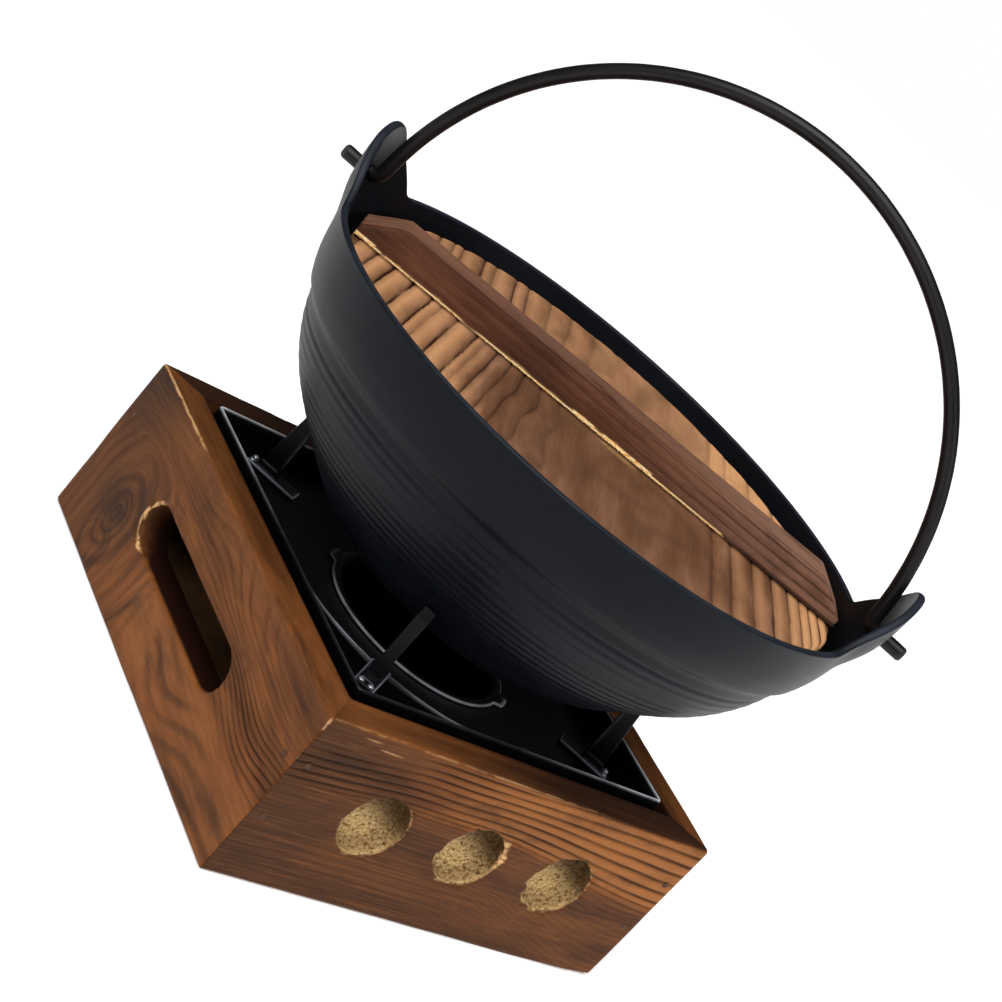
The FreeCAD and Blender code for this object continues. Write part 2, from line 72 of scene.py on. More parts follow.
# the pan's rings from the hole along underside, wall, rolled rim and floor back to the hole: the
# radius, or how far inside the outer or the inner wall, the height, and the even steps to get there
TRAY_RINGS = {
    "underside": [(HOLE_RADIUS, 56.5), (37.4, 56.1), (41.4, 56.1), (65.2, TRAY_UNDER, 6)],
    "wall": [(1.6, TRAY_UNDER, 6), (0.5, 62.3), (0, 63.4), (0, 68.8), (0, 70.9), (0.12, 71.35),
             (0.42, 71.68), (0.9, TRAY_TOP), (1.38, 71.68), (1.68, 71.35), (TRAY_WALL, 70.9)],
    "well": [(0, 67.7), (0, 64.9), (0.25, 64.2), (0.9, 63.78), (1.8, TRAY_FLOOR)],
    "dish": [(65.2, TRAY_FLOOR, 8), (64.5, 63.65), (63.8, 63.48), (63, TRAY_FLOOR - 1.2 * DISH_SLOPE),
             (41.4, DISH_FLOOR + DISH_SLOPE, 9), (40.6, 58.02), (39.8, DISH_FLOOR), (37.3, DISH_FLOOR),
             (HOLE_RADIUS, 57.6)]}
CLAW_TURNS = {"claw_front": 225, "claw_right": 315, "claw_back": 45, "claw_left": 135}
CLAW_BASE, CLAW_HALF, CLAW_BACK, CLAW_VOXEL = TRAY_FLOOR + 1, 2.35, 75.4, 0.33
CLAW_FIN = [(CLAW_BACK, CLAW_BASE), (83.9, CLAW_BASE), (80.6, 93.4), (79.2, 97), (CLAW_BACK, 93.95)]
CLAW_WELD = [(75, CLAW_BASE), (84.6, CLAW_BASE), (83.6, CLAW_BASE + 3.2), (CLAW_BACK, CLAW_BASE + 3.2)]
CLAW_FOOT = [(65.3, -4.2), (87.9, -4.2), (87.9, 4.2), (65.3, 4.2)]
FOOT_LOW, FOOT_LIFT = TRAY_FLOOR + 0.02, 1.56
CUP_OUTER = [(28.4, 24), (32.4, 26), (34.4, 30), (35.4, 44), (36.2, 57.2)]
CUP_LIP = [
    (36.5, 57.75), (37.2, 57.95), (39, 57.95), (39.35, 58.2), (39.4, 58.6), (39.1, 59), (38.4, 59.1),
    (37, 59.1), (36, 58.9), (35.3, 58.2)]
CUP_INNER = [(34.9, 57), (34.2, 44), (33.2, 30.4), (31.4, 26.9), (28, 25.2)]

# ---- the pot; its profiles are (radius, height) from the outside of the floor to the inside ----
POT_TURN = radians(-47)
POT_WALL, POT_RIM, PIN_HEIGHT, ROD = 3, 166, 173.1, 5.6
POT_UNDER = [(12, 84), (30, 84), (48, 84), (58.6, 84.02)]
BOWL = [
    (60.5, 84), (71, 91), (81.5, 100), (91.7, 109), (99.8, 118), (106.4, 129), (109.9, 138.6)]
POT_STEP = [(110.6, 140), (111.9, 141.2), (112.9, 142.3), (113.4, 143.5), (114.2, 145.2)]
BAND = [(113.4, 143.5), (115.8, 150), (117.5, 158), (118.6, 166)]
EAR_FACE = [
    (116.9, 155), (117.9, 159), (120.4, 164), (122.2, 168.5), (123.3, 173), (124.3, 181), (124.8, 197)]
EAR_TOP, EAR_ROUND, EAR_FILLET, LIP_ROUND = 193.6, 24, 11, 0.9
LEDGE = [(111.4, 146.2), (110.6, 146), (108.4, 146), (106.8, 145.9), (106.2, 145.3)]
BAND_FOOT = 146.9                           # where band and ears begin above the ledge
POT_INSIDE = [
    (106.5, 143), (106.9, 139.4), (103.5, 130.4), (97.2, 119.9), (89.5, 111.1), (79.5, 102.3),
    (69.2, 93.4), (62.5, 88.6), (57, 87.05)]
POT_FLOOR = [(44, 87), (28, 87), (12, 87)]

# ---- the bail ----
BAIL_RADIUS, BAIL_DROP, ELBOW, PIN_REACH, PIN_ROUND = 116.4, 3.9, 3.8, 132.4, 0.9

# ---- the lid ----
LID_TURN = radians(-35.8)
LID_RADIUS, LID_TOP, LID_UNDER, LID_VOXEL = 110, 161, 146.3, 0.85
BATTEN_HALF, BATTEN_BASE, BATTEN_TOP, BATTEN_HEIGHT = 109.2, 11.5, 9.25, 12
BATTEN_RISE, BATTEN_SLOPE, BATTEN_VOXEL = 3.6, 13.5, 0.62
# burnt stripes across the lid: place along the batten and strength
FRONT_STRIPES = [
    (-106, 0.7), (-98, 0.8), (-90.5, 1), (-82, 1), (-73.5, 1), (-69.5, 0.4), (-62.5, 0.95), (-53.5, 0.95),
    (-50, 0.35), (-44.5, 0.85), (-38, 0.65), (-32, 0.65), (-24.5, 0.55), (-16, 0.3), (-2, 0.08),
    (20, 0.05), (37, 0.12), (53, 0.5), (61.5, 0.6), (71.5, 0.7), (80.5, 0.85), (88, 0.85), (93.5, 0.8),
    (98, 0.9), (102.5, 0.9), (106.5, 0.8)]
BACK_STRIPES = [
    (-106, 0.5), (-98, 0.6), (-90, 0.7), (-82, 0.7), (-76, 0.6), (-72, 0.7), (-62, 0.8), (-57, 0.6),
    (-47, 0.8), (-41, 0.7), (-30, 0.4), (-20, 0.35), (-8, 0.3), (10, 0.1), (30, 0.12), (52, 0.35),
    (60, 0.35), (72, 0.4), (84, 0.5), (92, 0.5), (100, 0.5), (106, 0.5)]
STRIPE_PHASE = 0.76
# torn pale line along the batten's front foot: place along the batten and height
TORN_LINE = [
    (-110, 1.1), (-101, 1), (-97, 0.3), (-90, 0.9), (-80, 0.5), (-72, 0.9), (-60, 0.3), (-50, 0.7),
    (-30, 0.8), (-20, 0.9), (-10, 1.1), (5, 1.2), (22, 1), (26, 0.7), (56, 0.5), (58, 0), (110, 0)]
KNOT_PLACE, KNOT_SIZE = (9.5, -14.6), (10.5, 3.1)

# ---- colours, red, green and blue from 0 to 255 ----
# shade is painted shade; speck colours both the raw wood's dark pits and the painted shadow in the recesses
WOOD = {
    "dark": (74, 42, 20), "middle": (104, 60, 29), "light": (128, 76, 37), "warm": (170, 108, 56),
    "cool": (59, 38, 24), "glow": (154, 98, 54), "line": (30, 16, 9), "loop": (42, 24, 15),
    "scorch": (60, 37, 24), "shade": (34, 15, 9), "worn": (226, 178, 124), "speck": (62, 38, 19),
    "straw_dark": (142, 106, 62), "straw": (200, 166, 112), "straw_light": (222, 196, 142)}
LID_WOOD = dict(
    WOOD, dark=(98, 65, 44), middle=(122, 83, 58), light=(148, 106, 80), warm=(222, 164, 114),
    cool=(94, 63, 43), glow=(184, 140, 108), line=(44, 22, 12), scorch=(84, 54, 37), worn=(232, 184, 126),
    straw=(206, 160, 100), straw_light=(232, 196, 140), straw_dark=(176, 126, 74), speck=(110, 68, 36),
    loop=(84, 56, 38))
BATTEN_WOOD = dict(
    WOOD, dark=(66, 38, 26), middle=(88, 52, 36), light=(110, 70, 50), warm=(156, 118, 98),
    cool=(60, 34, 22), glow=(134, 94, 70), line=(34, 18, 12), scorch=(54, 32, 23), worn=(170, 124, 92),
    straw=(246, 206, 140), straw_light=(255, 230, 180), straw_dark=(232, 180, 110), speck=(176, 104, 56))


# ---- numbers and noise ----

LATTICE = np.random.default_rng(23).uniform(-1, 1, (32, 32, 32))


def waves(points, size, seed=0):
    """Smooth noise from -1 to 1; size is the length of one wave, or one for each axis, in mm."""
    place = points / np.asarray(size, float) + seed * 7.31
    cell = np.floor(place).astype(int)
    part = place - cell
    part = part * part * (3 - 2 * part)
    total = np.zeros(len(points))
    for corner in product((0, 1), repeat=3):
        weight = np.ones(len(points))
        index = []
        for axis, side in enumerate(corner):
            weight *= part[:, axis] if side else 1 - part[:, axis]
            index.append((cell[:, axis] + side) % len(LATTICE))
        total += weight * LATTICE[tuple(index)]
    return total


def rise(value, start, end):
    """0 below start, 1 above end and smooth in between."""
    part = np.clip((value - start) / (end - start), 0, 1)
    return part * part * (3 - 2 * part)


def fall(value, start, end):
    return 1 - rise(value, start, end)


def near(distance, width):
    """1 on an edge, falling to 0 a few widths away from it."""
    return np.exp(-(distance / width) ** 2 / 2)


def spot(across, up, width):
    """The same around a point or a corner, given the distances along two axes."""
    return near(np.hypot(across, up), width)


def swing(turns):
    """From 1 at each whole turn to 0 halfway between."""
    return 0.5 + 0.5 * np.cos(tau * turns)


def circle(count):
    """Angles evenly spaced around a full turn."""
    return np.arange(count) * tau / count


def unit(vectors):
    return vectors / np.linalg.norm(vectors, axis=1)[:, None]


def smooth_path(points, step):
    """Points about a step apart on a smooth curve through the given ones."""
    points = np.asarray(points, float)
    ends = np.vstack([2 * points[0] - points[1], points, 2 * points[-1] - points[-2]])
    path = []
    for i in range(1, len(ends) - 2):
        before, start, end, after = ends[i - 1:i + 3]
        count = max(2, int(np.linalg.norm(end - start) / step))
        for t in np.arange(count) / count:
            bend = 2 * before - 5 * start + 4 * end - after
            twist = 3 * start - before - 3 * end + after
            path.append(0.5 * (2 * start + (end - before) * t + bend * t ** 2 + twist * t ** 3))
    return np.array(path + [points[-1]])


def turned(points, angle):
    """Points turned about the upright axis through the origin."""
    c, s = cos(angle), sin(angle)
    x, y, z = points.T
    return np.column_stack([c * x - s * y, s * x + c * y, z])


def around(radius, height, angles):
    """A row of points around the upright axis."""
    return np.column_stack([radius * np.cos(angles), radius * np.sin(angles), height + 0 * angles])


def ring_rows(profile, angles):
    return [around(radius, height, angles) for radius, height in profile]


# ---- meshes ----

def link(name, data):
    piece = bpy.data.objects.new(name, data)
    bpy.context.scene.collection.objects.link(piece)
    return piece


def mesh_from(points, faces):
    """Mesh in metres from points in mm."""
    mesh = bpy.data.meshes.new("shape")
    mesh.from_pydata((np.asarray(points) * MM).tolist(), [], faces)
    mesh.update()
    return mesh


def read(items, field):
    flat = np.empty(len(items) * 3, np.float32)
    items.foreach_get(field, flat)
    return flat.reshape(-1, 3).astype(float)


def points_of(mesh):
    """The mesh's points in mm."""
    return read(mesh.vertices, "co") / MM


def normals_of(mesh):
    return read(mesh.vertex_normals, "vector")


def move_points(mesh, points):
    mesh.vertices.foreach_set("co", (points * MM).astype(np.float32).ravel())
    mesh.update()


def give_value(mesh, name, values):
    layer = mesh.attributes.new(name, "FLOAT", "POINT")
    layer.data.foreach_set("value", np.asarray(values, np.float32))


def give_marks(mesh, marks, grain):
    """Stores the wood look's marks and each point's place along the grain, given in mm."""
    for name, values in marks.items():
        give_value(mesh, name, np.clip(values, -1000, 1000))
    layer = mesh.attributes.new("grain", "FLOAT_VECTOR", "POINT")
    layer.data.foreach_set("vector", (grain * MM).astype(np.float32).ravel())


@contextmanager
def edited(mesh):
    """Opens the mesh for editing and writes it back."""
    shape = bmesh.new()
    shape.from_mesh(mesh)
    yield shape
    shape.to_mesh(mesh)
    shape.free()
    mesh.update()


def modified(piece):
    """The piece's mesh with its modifiers applied."""
    bpy.context.view_layer.update()
    graph = bpy.context.evaluated_depsgraph_get()
    return bpy.data.meshes.new_from_object(piece.evaluated_get(graph))


def block(low, high):
    corners = [(x, y, z) for x in (low[0], high[0]) for y in (low[1], high[1]) for z in (low[2], high[2])]
    faces = [(0, 1, 3, 2), (4, 6, 7, 5), (0, 4, 5, 1), (2, 3, 7, 6), (0, 2, 6, 4), (1, 5, 7, 3)]
    return link("block", mesh_from(corners, faces))


def prism(outline, lift):
    """Solid between an outline of (x, y, z) points and the same outline moved by lift."""
    outline = np.asarray(outline, float)
    count = len(outline)
    faces = [tuple(range(count)), tuple(range(2 * count - 1, count - 1, -1))]
    faces += [((i + 1) % count, i, count + i, count + (i + 1) % count) for i in range(count)]
    mesh = mesh_from(np.vstack([outline, outline + lift]), faces)
    with edited(mesh) as shape:
        bmesh.ops.recalc_face_normals(shape, faces=shape.faces)
    return link("prism", mesh)


def combined(piece, operation, others):
    """Cuts the others out of the piece (DIFFERENCE) or joins them to it (UNION)."""
    for other in others:
        step = piece.modifiers.new("step", "BOOLEAN")
        step.operation = operation
        step.solver = "EXACT"
        step.object = other
        piece.data = modified(piece)
        piece.modifiers.clear()
        bpy.data.objects.remove(other)
    return piece


def remeshed(piece, size):
    """An even skin of small quads over the piece's shape."""
    skin = piece.modifiers.new("skin", "REMESH")
    skin.mode = "VOXEL"
    skin.voxel_size = size * MM
    mesh = modified(piece)
    bpy.data.objects.remove(piece)
    return mesh


def woven(rows, ring=False, skip=frozenset(), extra=()):
    """Mesh of quads through rows of points that each close on themselves. A ring also joins the
    last row to the first; otherwise a flat fan closes each end. skip leaves quads out."""
    rows = np.asarray(rows, float)
    count, width = rows.shape[:2]
    points = rows.reshape(-1, 3)
    faces = []
    for i in range(count if ring else count - 1):
        here, there = i * width, (i + 1) % count * width
        for j in range(width):
            if (i, j) not in skip:
                k = (j + 1) % width
                faces.append((here + j, here + k, there + k, there + j))
    faces += extra
    if not ring:
        start, last = len(points), (count - 1) * width
        points = np.vstack([points, rows[0].mean(0), rows[-1].mean(0)])
        faces += [((j + 1) % width, j, start) for j in range(width)]
        faces += [(last + j, last + (j + 1) % width, start + 1) for j in range(width)]
    return mesh_from(points, faces)


def finish_piece(name, mesh, body, slot, look, *stands_for):
    """Names the mesh, smooths its shading, gives it its look and lets it ride."""
    mesh.name = name
    piece = link(name, mesh)
    with edited(mesh) as shape:
        bmesh.ops.recalc_face_normals(shape, faces=shape.faces)
    mesh.shade_smooth()
    mesh.materials.clear()
    mesh.materials.append(look)
    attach(piece, body)
    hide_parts(*stands_for)


# ---- materials ----

def shade(value):
    """A linear colour from a grey of 0 to 1, or from red, green and blue of 0 to 255."""
    if not isinstance(value, tuple):
        return (value, value, value, 1)
    parts = [part / 255 for part in value]
    return (*(part / 12.92 if part <= 0.04045 else ((part + 0.055) / 1.055) ** 2.4 for part in parts), 1)


class Look:
    """One node material. Most methods add a node and return its output."""

    def __init__(self, name):
        self.material = bpy.data.materials.new(name)
        self.material.use_nodes = True
        self.nodes = self.material.node_tree.nodes
        self.links = self.material.node_tree.links
        self.shader = self.nodes["Principled BSDF"]

    def feed(self, socket, value):
        """Links an output to the socket, or sets its own value; a tuple is a colour."""
        if isinstance(value, bpy.types.NodeSocket):
            self.links.new(value, socket)
        else:
            socket.default_value = shade(value) if isinstance(value, tuple) else value

    def add(self, kind, inputs, **settings):
        """Adds a node and feeds its inputs, given by name or number."""
        node = self.nodes.new("ShaderNode" + kind)
        for name, value in settings.items():
            setattr(node, name, value)
        for name, value in inputs.items():
            self.feed(node.inputs[name], value)
        return node.outputs

    def mark(self, name, output="Fac"):
        """What the mesh stores under this name at each point."""
        return self.add("Attribute", {}, attribute_name=name)[output]

    def place(self):
        return self.add("TexCoord", {})["Object"]

    def stretched(self, place, size):
        """The place in units of size, which is in mm, one for all axes or one for each."""
        scale = (1 / (np.broadcast_to(size, 3) * MM)).tolist()
        return self.add("VectorMath", {0: place, 1: scale}, operation="MULTIPLY")[0]

    def noise(self, place, size, detail=3, roughness=0.5):
        inputs = {"Vector": self.stretched(place, size), "Scale": 1, "Detail": detail, "Roughness": roughness}
        return self.add("TexNoise", inputs)["Fac"]

    def maths(self, operation, *values, clamp=False):
        return self.add("Math", dict(enumerate(values)), operation=operation, use_clamp=clamp)[0]

    def times(self, first, second, clamp=False):
        return self.maths("MULTIPLY", first, second, clamp=clamp)

    def scaled(self, value, factor, start, clamp=False):
        """The value times the factor, added to start."""
        return self.maths("MULTIPLY_ADD", value, factor, start, clamp=clamp)

    def rise(self, value, start, end, low=0, high=1):
        """The value's range from start to end, as a smooth step from low to high."""
        inputs = dict(enumerate((value, start, end, low, high)))
        return self.add("MapRange", inputs, interpolation_type="SMOOTHSTEP")[0]

    def ramp(self, value, *stops, smooth=False):
        """Colours or greys between stops of (place, shade)."""
        node = self.nodes.new("ShaderNodeValToRGB")
        node.color_ramp.interpolation = "EASE" if smooth else "LINEAR"
        self.feed(node.inputs[0], value)
        points = node.color_ramp.elements
        while len(points) < len(stops):
            points.new(0.5)
        for point, (place, tint) in zip(points, stops):
            point.position = place
            point.color = shade(tint)
        return node.outputs[0]

    def mix(self, share, first, second):
        return self.add("Mix", {"Factor": share, 6: first, 7: second}, data_type="RGBA")[2]

    def bump(self, height, depth, below=None):
        """Bump of the height, depth in mm, on top of the one below."""
        inputs = {"Distance": depth * MM, "Height": height}
        if below is not None:
            inputs["Normal"] = below
        return self.add("Bump", inputs)[0]

    def finish(self, base, roughness, normal, specular=0.5, metallic=0, glow=0):
        settings = {
            "Base Color": base, "Roughness": roughness, "Normal": normal, "Specular IOR Level": specular,
            "Metallic": metallic, "Emission Color": (255, 255, 255), "Emission Strength": glow}
        for name, value in settings.items():
            self.feed(self.shader.inputs[name], value)
        return self.material


def brushed_wood(name, shades, line=0.74, core=0.15, shoulder=0.24, fine=1, sway=0.13, streaks=1, burn=0.6):
    """Burnt and brushed wood. The mesh gives each point its place along the grain, its growth
    ring and how boldly rings show there, the same for broad soft rings, how warm it is (with painted
    shadow and shading in places), how worn and raw, how dark from painted shade and knots, and how far
    painted shadow and stain darken its raw wood. line, core and shoulder shape a ring's dark line; fine
    widens fibres."""
    look = Look(name)
    grain = look.mark("grain", "Vector")
    ring = look.scaled(look.noise(grain, (16, 1.8, 1.8)), sway, look.mark("ring"))
    line = look.ramp(look.maths("FRACT", ring), (0, 0.1), (0.08, 0), (line - shoulder, 0.1),
                     (line - shoulder / 3, 0.5), (line, 1), (line + core, 0.95), (line + core + 0.04, 0.2),
                     (1, 0.1))
    patchy = look.rise(look.noise(grain, (40, 5, 5), 2), 0.3, 0.62, 0.55, 1)
    line = look.times(line, look.times(look.mark("bold"), patchy))
    loop = look.scaled(look.noise(grain, (14, 7, 7)), 0.3, look.mark("loop"))
    soft = look.ramp(look.maths("FRACT", loop), (0, 0.15), (0.35, 0), (0.78, 1), (0.9, 0.75), (1, 0.15),
                     smooth=True)
    soft = look.times(soft, look.mark("soft"))
    tone = look.mark("tone")
    fibre = look.noise(grain, (9, 0.32 * fine, 0.32 * fine), 4, 0.6)
    long_fibre = look.noise(grain, (50, 0.8 * fine, 0.8 * fine), 3, 0.6)
    pore = look.rise(look.noise(grain, (3.5, 0.22, 0.22), 2), 0.63, 0.7, 0, 0.28 * streaks)
    speck, torn = raw_wood(look, grain, shades)
    broken = look.rise(look.noise(grain, (7, 1.6, 1.6), 4, 0.6), 0.3, 0.55, 0.5, 1)

    base = look.ramp(look.noise(grain, (60, 12, 12), 3, 0.55), (0.3, shades["dark"]),
                     (0.46, shades["middle"]), (0.6, shades["light"]), (0.74, shades["middle"]))
    # from the bottom up; dark lays painted shade, and on the batten a knot's own darkness, in the shade
    # colour
    layers = [
        (look.times(tone, 0.75, clamp=True), "warm"), (look.times(tone, -0.85, clamp=True), "cool"),
        (look.rise(fibre, 0.34, 0.6, 0.17 * streaks, 0), "line"),
        (look.rise(long_fibre, 0.5, 0.72, 0, 0.24 * streaks), "glow"),
        (look.rise(look.noise(grain, (30, 12, 12), 4, 0.62), 0.5, 0.74, 0, burn), "scorch"),
        (look.times(soft, 0.72), "loop"), (look.times(line, 0.9), "line"), (pore, "line"),
        (look.mark("dark"), "shade"), (look.mark("raw"), "torn"),
        (look.rise(look.times(look.mark("rim"), broken), 0.25, 0.8, 0, 0.92), "worn")]
    for share, name in layers:
        base = look.mix(share, base, torn if name == "torn" else shades[name])

    rough = look.maths("ADD", look.scaled(fibre, 0.25, 0.42), look.times(line, 0.12), clamp=True)
    normal = look.bump(look.scaled(line, -0.5, look.times(fibre, 0.5)), 0.28)
    normal = look.bump(look.times(speck, look.mark("raw")), 0.9, normal)
    return look.finish(base, rough, look.bump(pore, -0.15, normal), specular=0.08)


def raw_wood(look, grain, shades):
    """Height and colour of the torn, unburnt wood in the recesses, darkened to the speck colour by painted
    shadow in the box's recesses, by the lid knot's own darker middle and towards the right end of the
    batten's torn line.
    """
    cells = look.add("TexVoronoi", {"Vector": look.stretched(grain, (1.15, 1.1, 1.1)), "Scale": 1})
    pits = look.scaled(cells["Distance"], -0.4, 0.46)
    speck = look.scaled(look.noise(grain, (1.7, 1.5, 1.5), 3, 0.6), 0.5, pits)
    straw = look.ramp(speck, (0.26, shades["speck"]), (0.37, shades["straw_dark"]), (0.5, shades["straw"]),
                      (0.66, shades["straw_light"]))
    # painted shadow in the recesses, and a knot's own darkness, mixed in the speck colour
    return speck, look.mix(look.mark("shadow_and_stain"), straw, shades["speck"])


def plain_wood():
    """Sawn, unburnt wood of the hidden strips and the base panel."""
    look = Look("plain_wood")
    place = look.place()
    streak = look.noise(place, (22, 22, 1.6), 4, 0.6)
    base = look.ramp(streak, (0.3, (120, 84, 54)), (0.5, (160, 118, 78)), (0.7, (186, 146, 100)))
    base = look.mix(look.rise(look.noise(place, 30, 2), 0.45, 0.7, 0, 0.5), base, (104, 70, 46))
    fibre = look.noise(place, (1.2, 1.2, 0.5), 4, 0.7)
    return look.finish(base, look.scaled(fibre, 0.25, 0.55), look.bump(fibre, 0.15), specular=0.35)


def black_metal(name, base, sheen, edge, rough, grain, dents, specular):
    """Dark coated metal: a fine cast or painted grain, faint blotches and lighter edge marks: painted
    highlights on the tray, cup, claws and pot lip, lighter pin tips on the bail.
    """
    look = Look(name)
    place = look.place()
    blotch = look.noise(place, 24, 4, 0.6)
    speckle = look.noise(place, 0.7, 3, 0.6)
    broken = look.rise(look.noise(place, 12), 0.35, 0.6, 0.6, 1)
    tint = look.ramp(blotch, (0.35, base), (0.7, sheen))
    tint = look.mix(look.rise(speckle, 0.62, 0.75, 0, 0.35), tint, sheen)
    # painted highlights, and the bail's lighter pin tips, in the edge colour where the mesh marks a rim
    tint = look.mix(look.times(look.mark("rim"), broken), tint, edge)
    roughness = look.scaled(speckle, 0.08, look.scaled(blotch, 0.16, rough - 0.08), clamp=True)
    normal = look.bump(look.noise(place, 0.55, 4, 0.65), grain, look.bump(look.noise(place, 9, 2), dents))
    return look.finish(tint, roughness, normal, specular=specular)


def dull_steel():
    """Rusty nails and screws."""
    look = Look("nail_steel")
    place = look.place()
    grain = look.noise(place, (1.1, 1.1, 0.2), 3, 0.6)
    base = look.ramp(grain, (0.3, (52, 33, 21)), (0.7, (92, 62, 42)))
    base = look.mix(look.rise(look.noise(place, 2.2), 0.42, 0.62, 0, 0.8), base, (70, 42, 26))
    return look.finish(base, look.scaled(grain, 0.3, 0.3), look.bump(grain, 0.04), specular=0.15)


def bright_steel():
    look = Look("rivet_steel")
    grain = look.noise(look.place(), 0.8, 3, 0.6)
    base = look.ramp(grain, (0.35, (96, 98, 104)), (0.65, (190, 192, 198)))
    return look.finish(base, look.scaled(grain, 0.2, 0.2), look.bump(grain, 0.03), metallic=0.5)


# ---- the wooden box ----

def stadium(u, v):
    """Distance in mm to the edge of the hand slot, less than 0 inside it."""
    return np.hypot(np.maximum(np.abs(u) - SLOT_REACH, 0), v - SLOT_HEIGHT) - SLOT_HALF


def nearest_recess(u, v):
    """Distance in mm to the edge of the nearest blind recess, less than 0 inside it."""
    gaps = [np.hypot(u - place, v - RECESS_HEIGHT) for place in RECESS_PLACES]
    return np.minimum.reduce(gaps) - RECESS_RADIUS


def nearest_across(u):
    """How far to the right of the nearest recess's middle a point lies."""
    gaps = np.array([u - place for place in RECESS_PLACES])
    return np.take_along_axis(gaps, np.abs(gaps).argmin(0)[None], 0)[0]


def box_skin():
    """The whole box as one even skin: a square ring with slots, recesses and the panel's groove."""
    ring = block((-HALF, -HALF, 0), (HALF, HALF, BOX_HEIGHT))
    inner = HALF - BOARD
    far = HALF + CLEAR
    cutters = [block((-inner, -inner, -CLEAR), (inner, inner, BOX_HEIGHT + CLEAR)),
               block((-PANEL_REACH, -PANEL_REACH, PANEL_LOW), (PANEL_REACH, PANEL_REACH, PANEL_HIGH))]
    arc = np.linspace(-pi / 2, pi / 2, 25)
    right = [(SLOT_REACH + SLOT_HALF * cos(a), SLOT_HALF * sin(a)) for a in arc]
    outline = [(-far, y, SLOT_HEIGHT + z) for y, z in right + [(-y, -z) for y, z in right]]
    cutters.append(prism(outline, (2 * far, 0, 0)))
    for side, place in product((-1, 1), RECESS_PLACES):
        hole = [(RECESS_RADIUS * cos(a) - side * place, side * far, RECESS_HEIGHT + RECESS_RADIUS * sin(a))
                for a in circle(64)]
        cutters.append(prism(hole, (0, -side * (CLEAR + RECESS_DEPTH), 0)))
    return remeshed(combined(ring, "DIFFERENCE", cutters), BOX_VOXEL)


def board_space(points, turn):
    """Where points lie on a board, seen from outside: u to the right, v up, w in from the face."""
    at = turned(points, -radians(turn))
    return -at[:, 1], at[:, 2], at[:, 0] + HALF


def grain_lines(u, v, level, lean, over, gap, ringed):
    """Places along and across the fibres, which bend around the knot."""
    bend = ringed * fall(v, 40, 56) * fall(gap, 26, 44)
    bend *= 1 - near(lean, 7) * rise(-over, 3, 12)
    around_knot = -KNOT_U + 20 * np.arctan2(lean, over)
    return u + (around_knot - u) * bend, level + (gap + KNOT_V - level) * bend


def knotty_grain(u, v, w, seed):
    """Marks of a flat-sawn board: a knot near one end with wide rings around it, fine rings
    above that dip towards the right, broad lazy ones below."""
    place = np.column_stack([u, v, w])
    wander = waves(place, (34, 18, 18), seed + 2)
    ripple = waves(place, (11, 8, 8), seed + 4)
    height = v + waves(place, (60, 30, 30), seed) + 0.35 * waves(place, (18, 9, 9), seed + 1)
    lean = u + KNOT_U + 2.6 * wander
    over = height - KNOT_V + 0.8 * ripple
    gap = np.hypot(lean * np.where(lean < 0, 1.25, 1), over * np.where(over > 0, 0.95, 0.6))
    dip = 8 * rise(u, 0, 120) + 3 * rise(-u, 0, 95)
    lift = 8 * np.exp(-((u + KNOT_U) / 28) ** 2) * fall(v, 44, 66)
    level = height + dip - lift
    ring = level / (2.65 + 0.3 * wander) + 0.5 * w / 2.6
    bold = rise(level, 29, 35) * (0.16 + 0.34 * rise(u, -50, 40)) * (0.45 + 0.55 * fall(level, 66, 74))
    bold *= 1 - 0.6 * rise(u, 30, 60) * rise(v, 48, 58)
    bold += 0.55 * near(level - 41, 9) * rise(u, 30, 70)
    bold *= 1 - rise(-u, 30, 56) * fall(v, 46, 56)
    bold *= 0.75 + 0.55 * waves(place, (46, 5, 5), seed + 5)
    ringed = fall(u + 0.4 * np.maximum(v - 30, 0), -18, -4)
    knot = gap / (3.4 + 2.8 * rise(gap, 8, 30)) + 0.12 * ripple
    lazy = (height + 8 * waves(place, (44, 60, 60), seed + 6) + 10 * near(u - 26, 13)) / 7.4
    soft = ringed * (0.85 - 0.35 * rise(gap, 20, 46)) * fall(v, 42, 60) * (0.8 + 0.4 * ripple)
    soft += 0.8 * rise(u, -4, 14) * fall(v + 0.12 * u, 22, 32) * (0.8 + 0.4 * wander)
    along, across = grain_lines(u, v, level, lean, over, gap, ringed)
    blotch = near(np.hypot(lean / 12, (height - KNOT_V - 1) / 7.5) + 0.25 * ripple, 1)
    tone = -0.05 - 0.9 * blotch - 0.35 * rise(-u, 45, 80) - 0.2 * rise(v, 56, 68)
    tone -= 0.6 * rise(-u, 45, 95) * rise(v, 28, 56)
    tone += 0.55 * spot((u + 3) / 20, (v - 17) / 10, 1) + 0.3 * rise(u, 20, 50) * near(v - 16, 9)
    return {"ring": ring, "bold": np.clip(bold, 0, 1), "loop": np.where(u < -8, knot, lazy),
            "soft": np.clip(soft, 0, 1), "tone": tone, "along": along, "across": across}


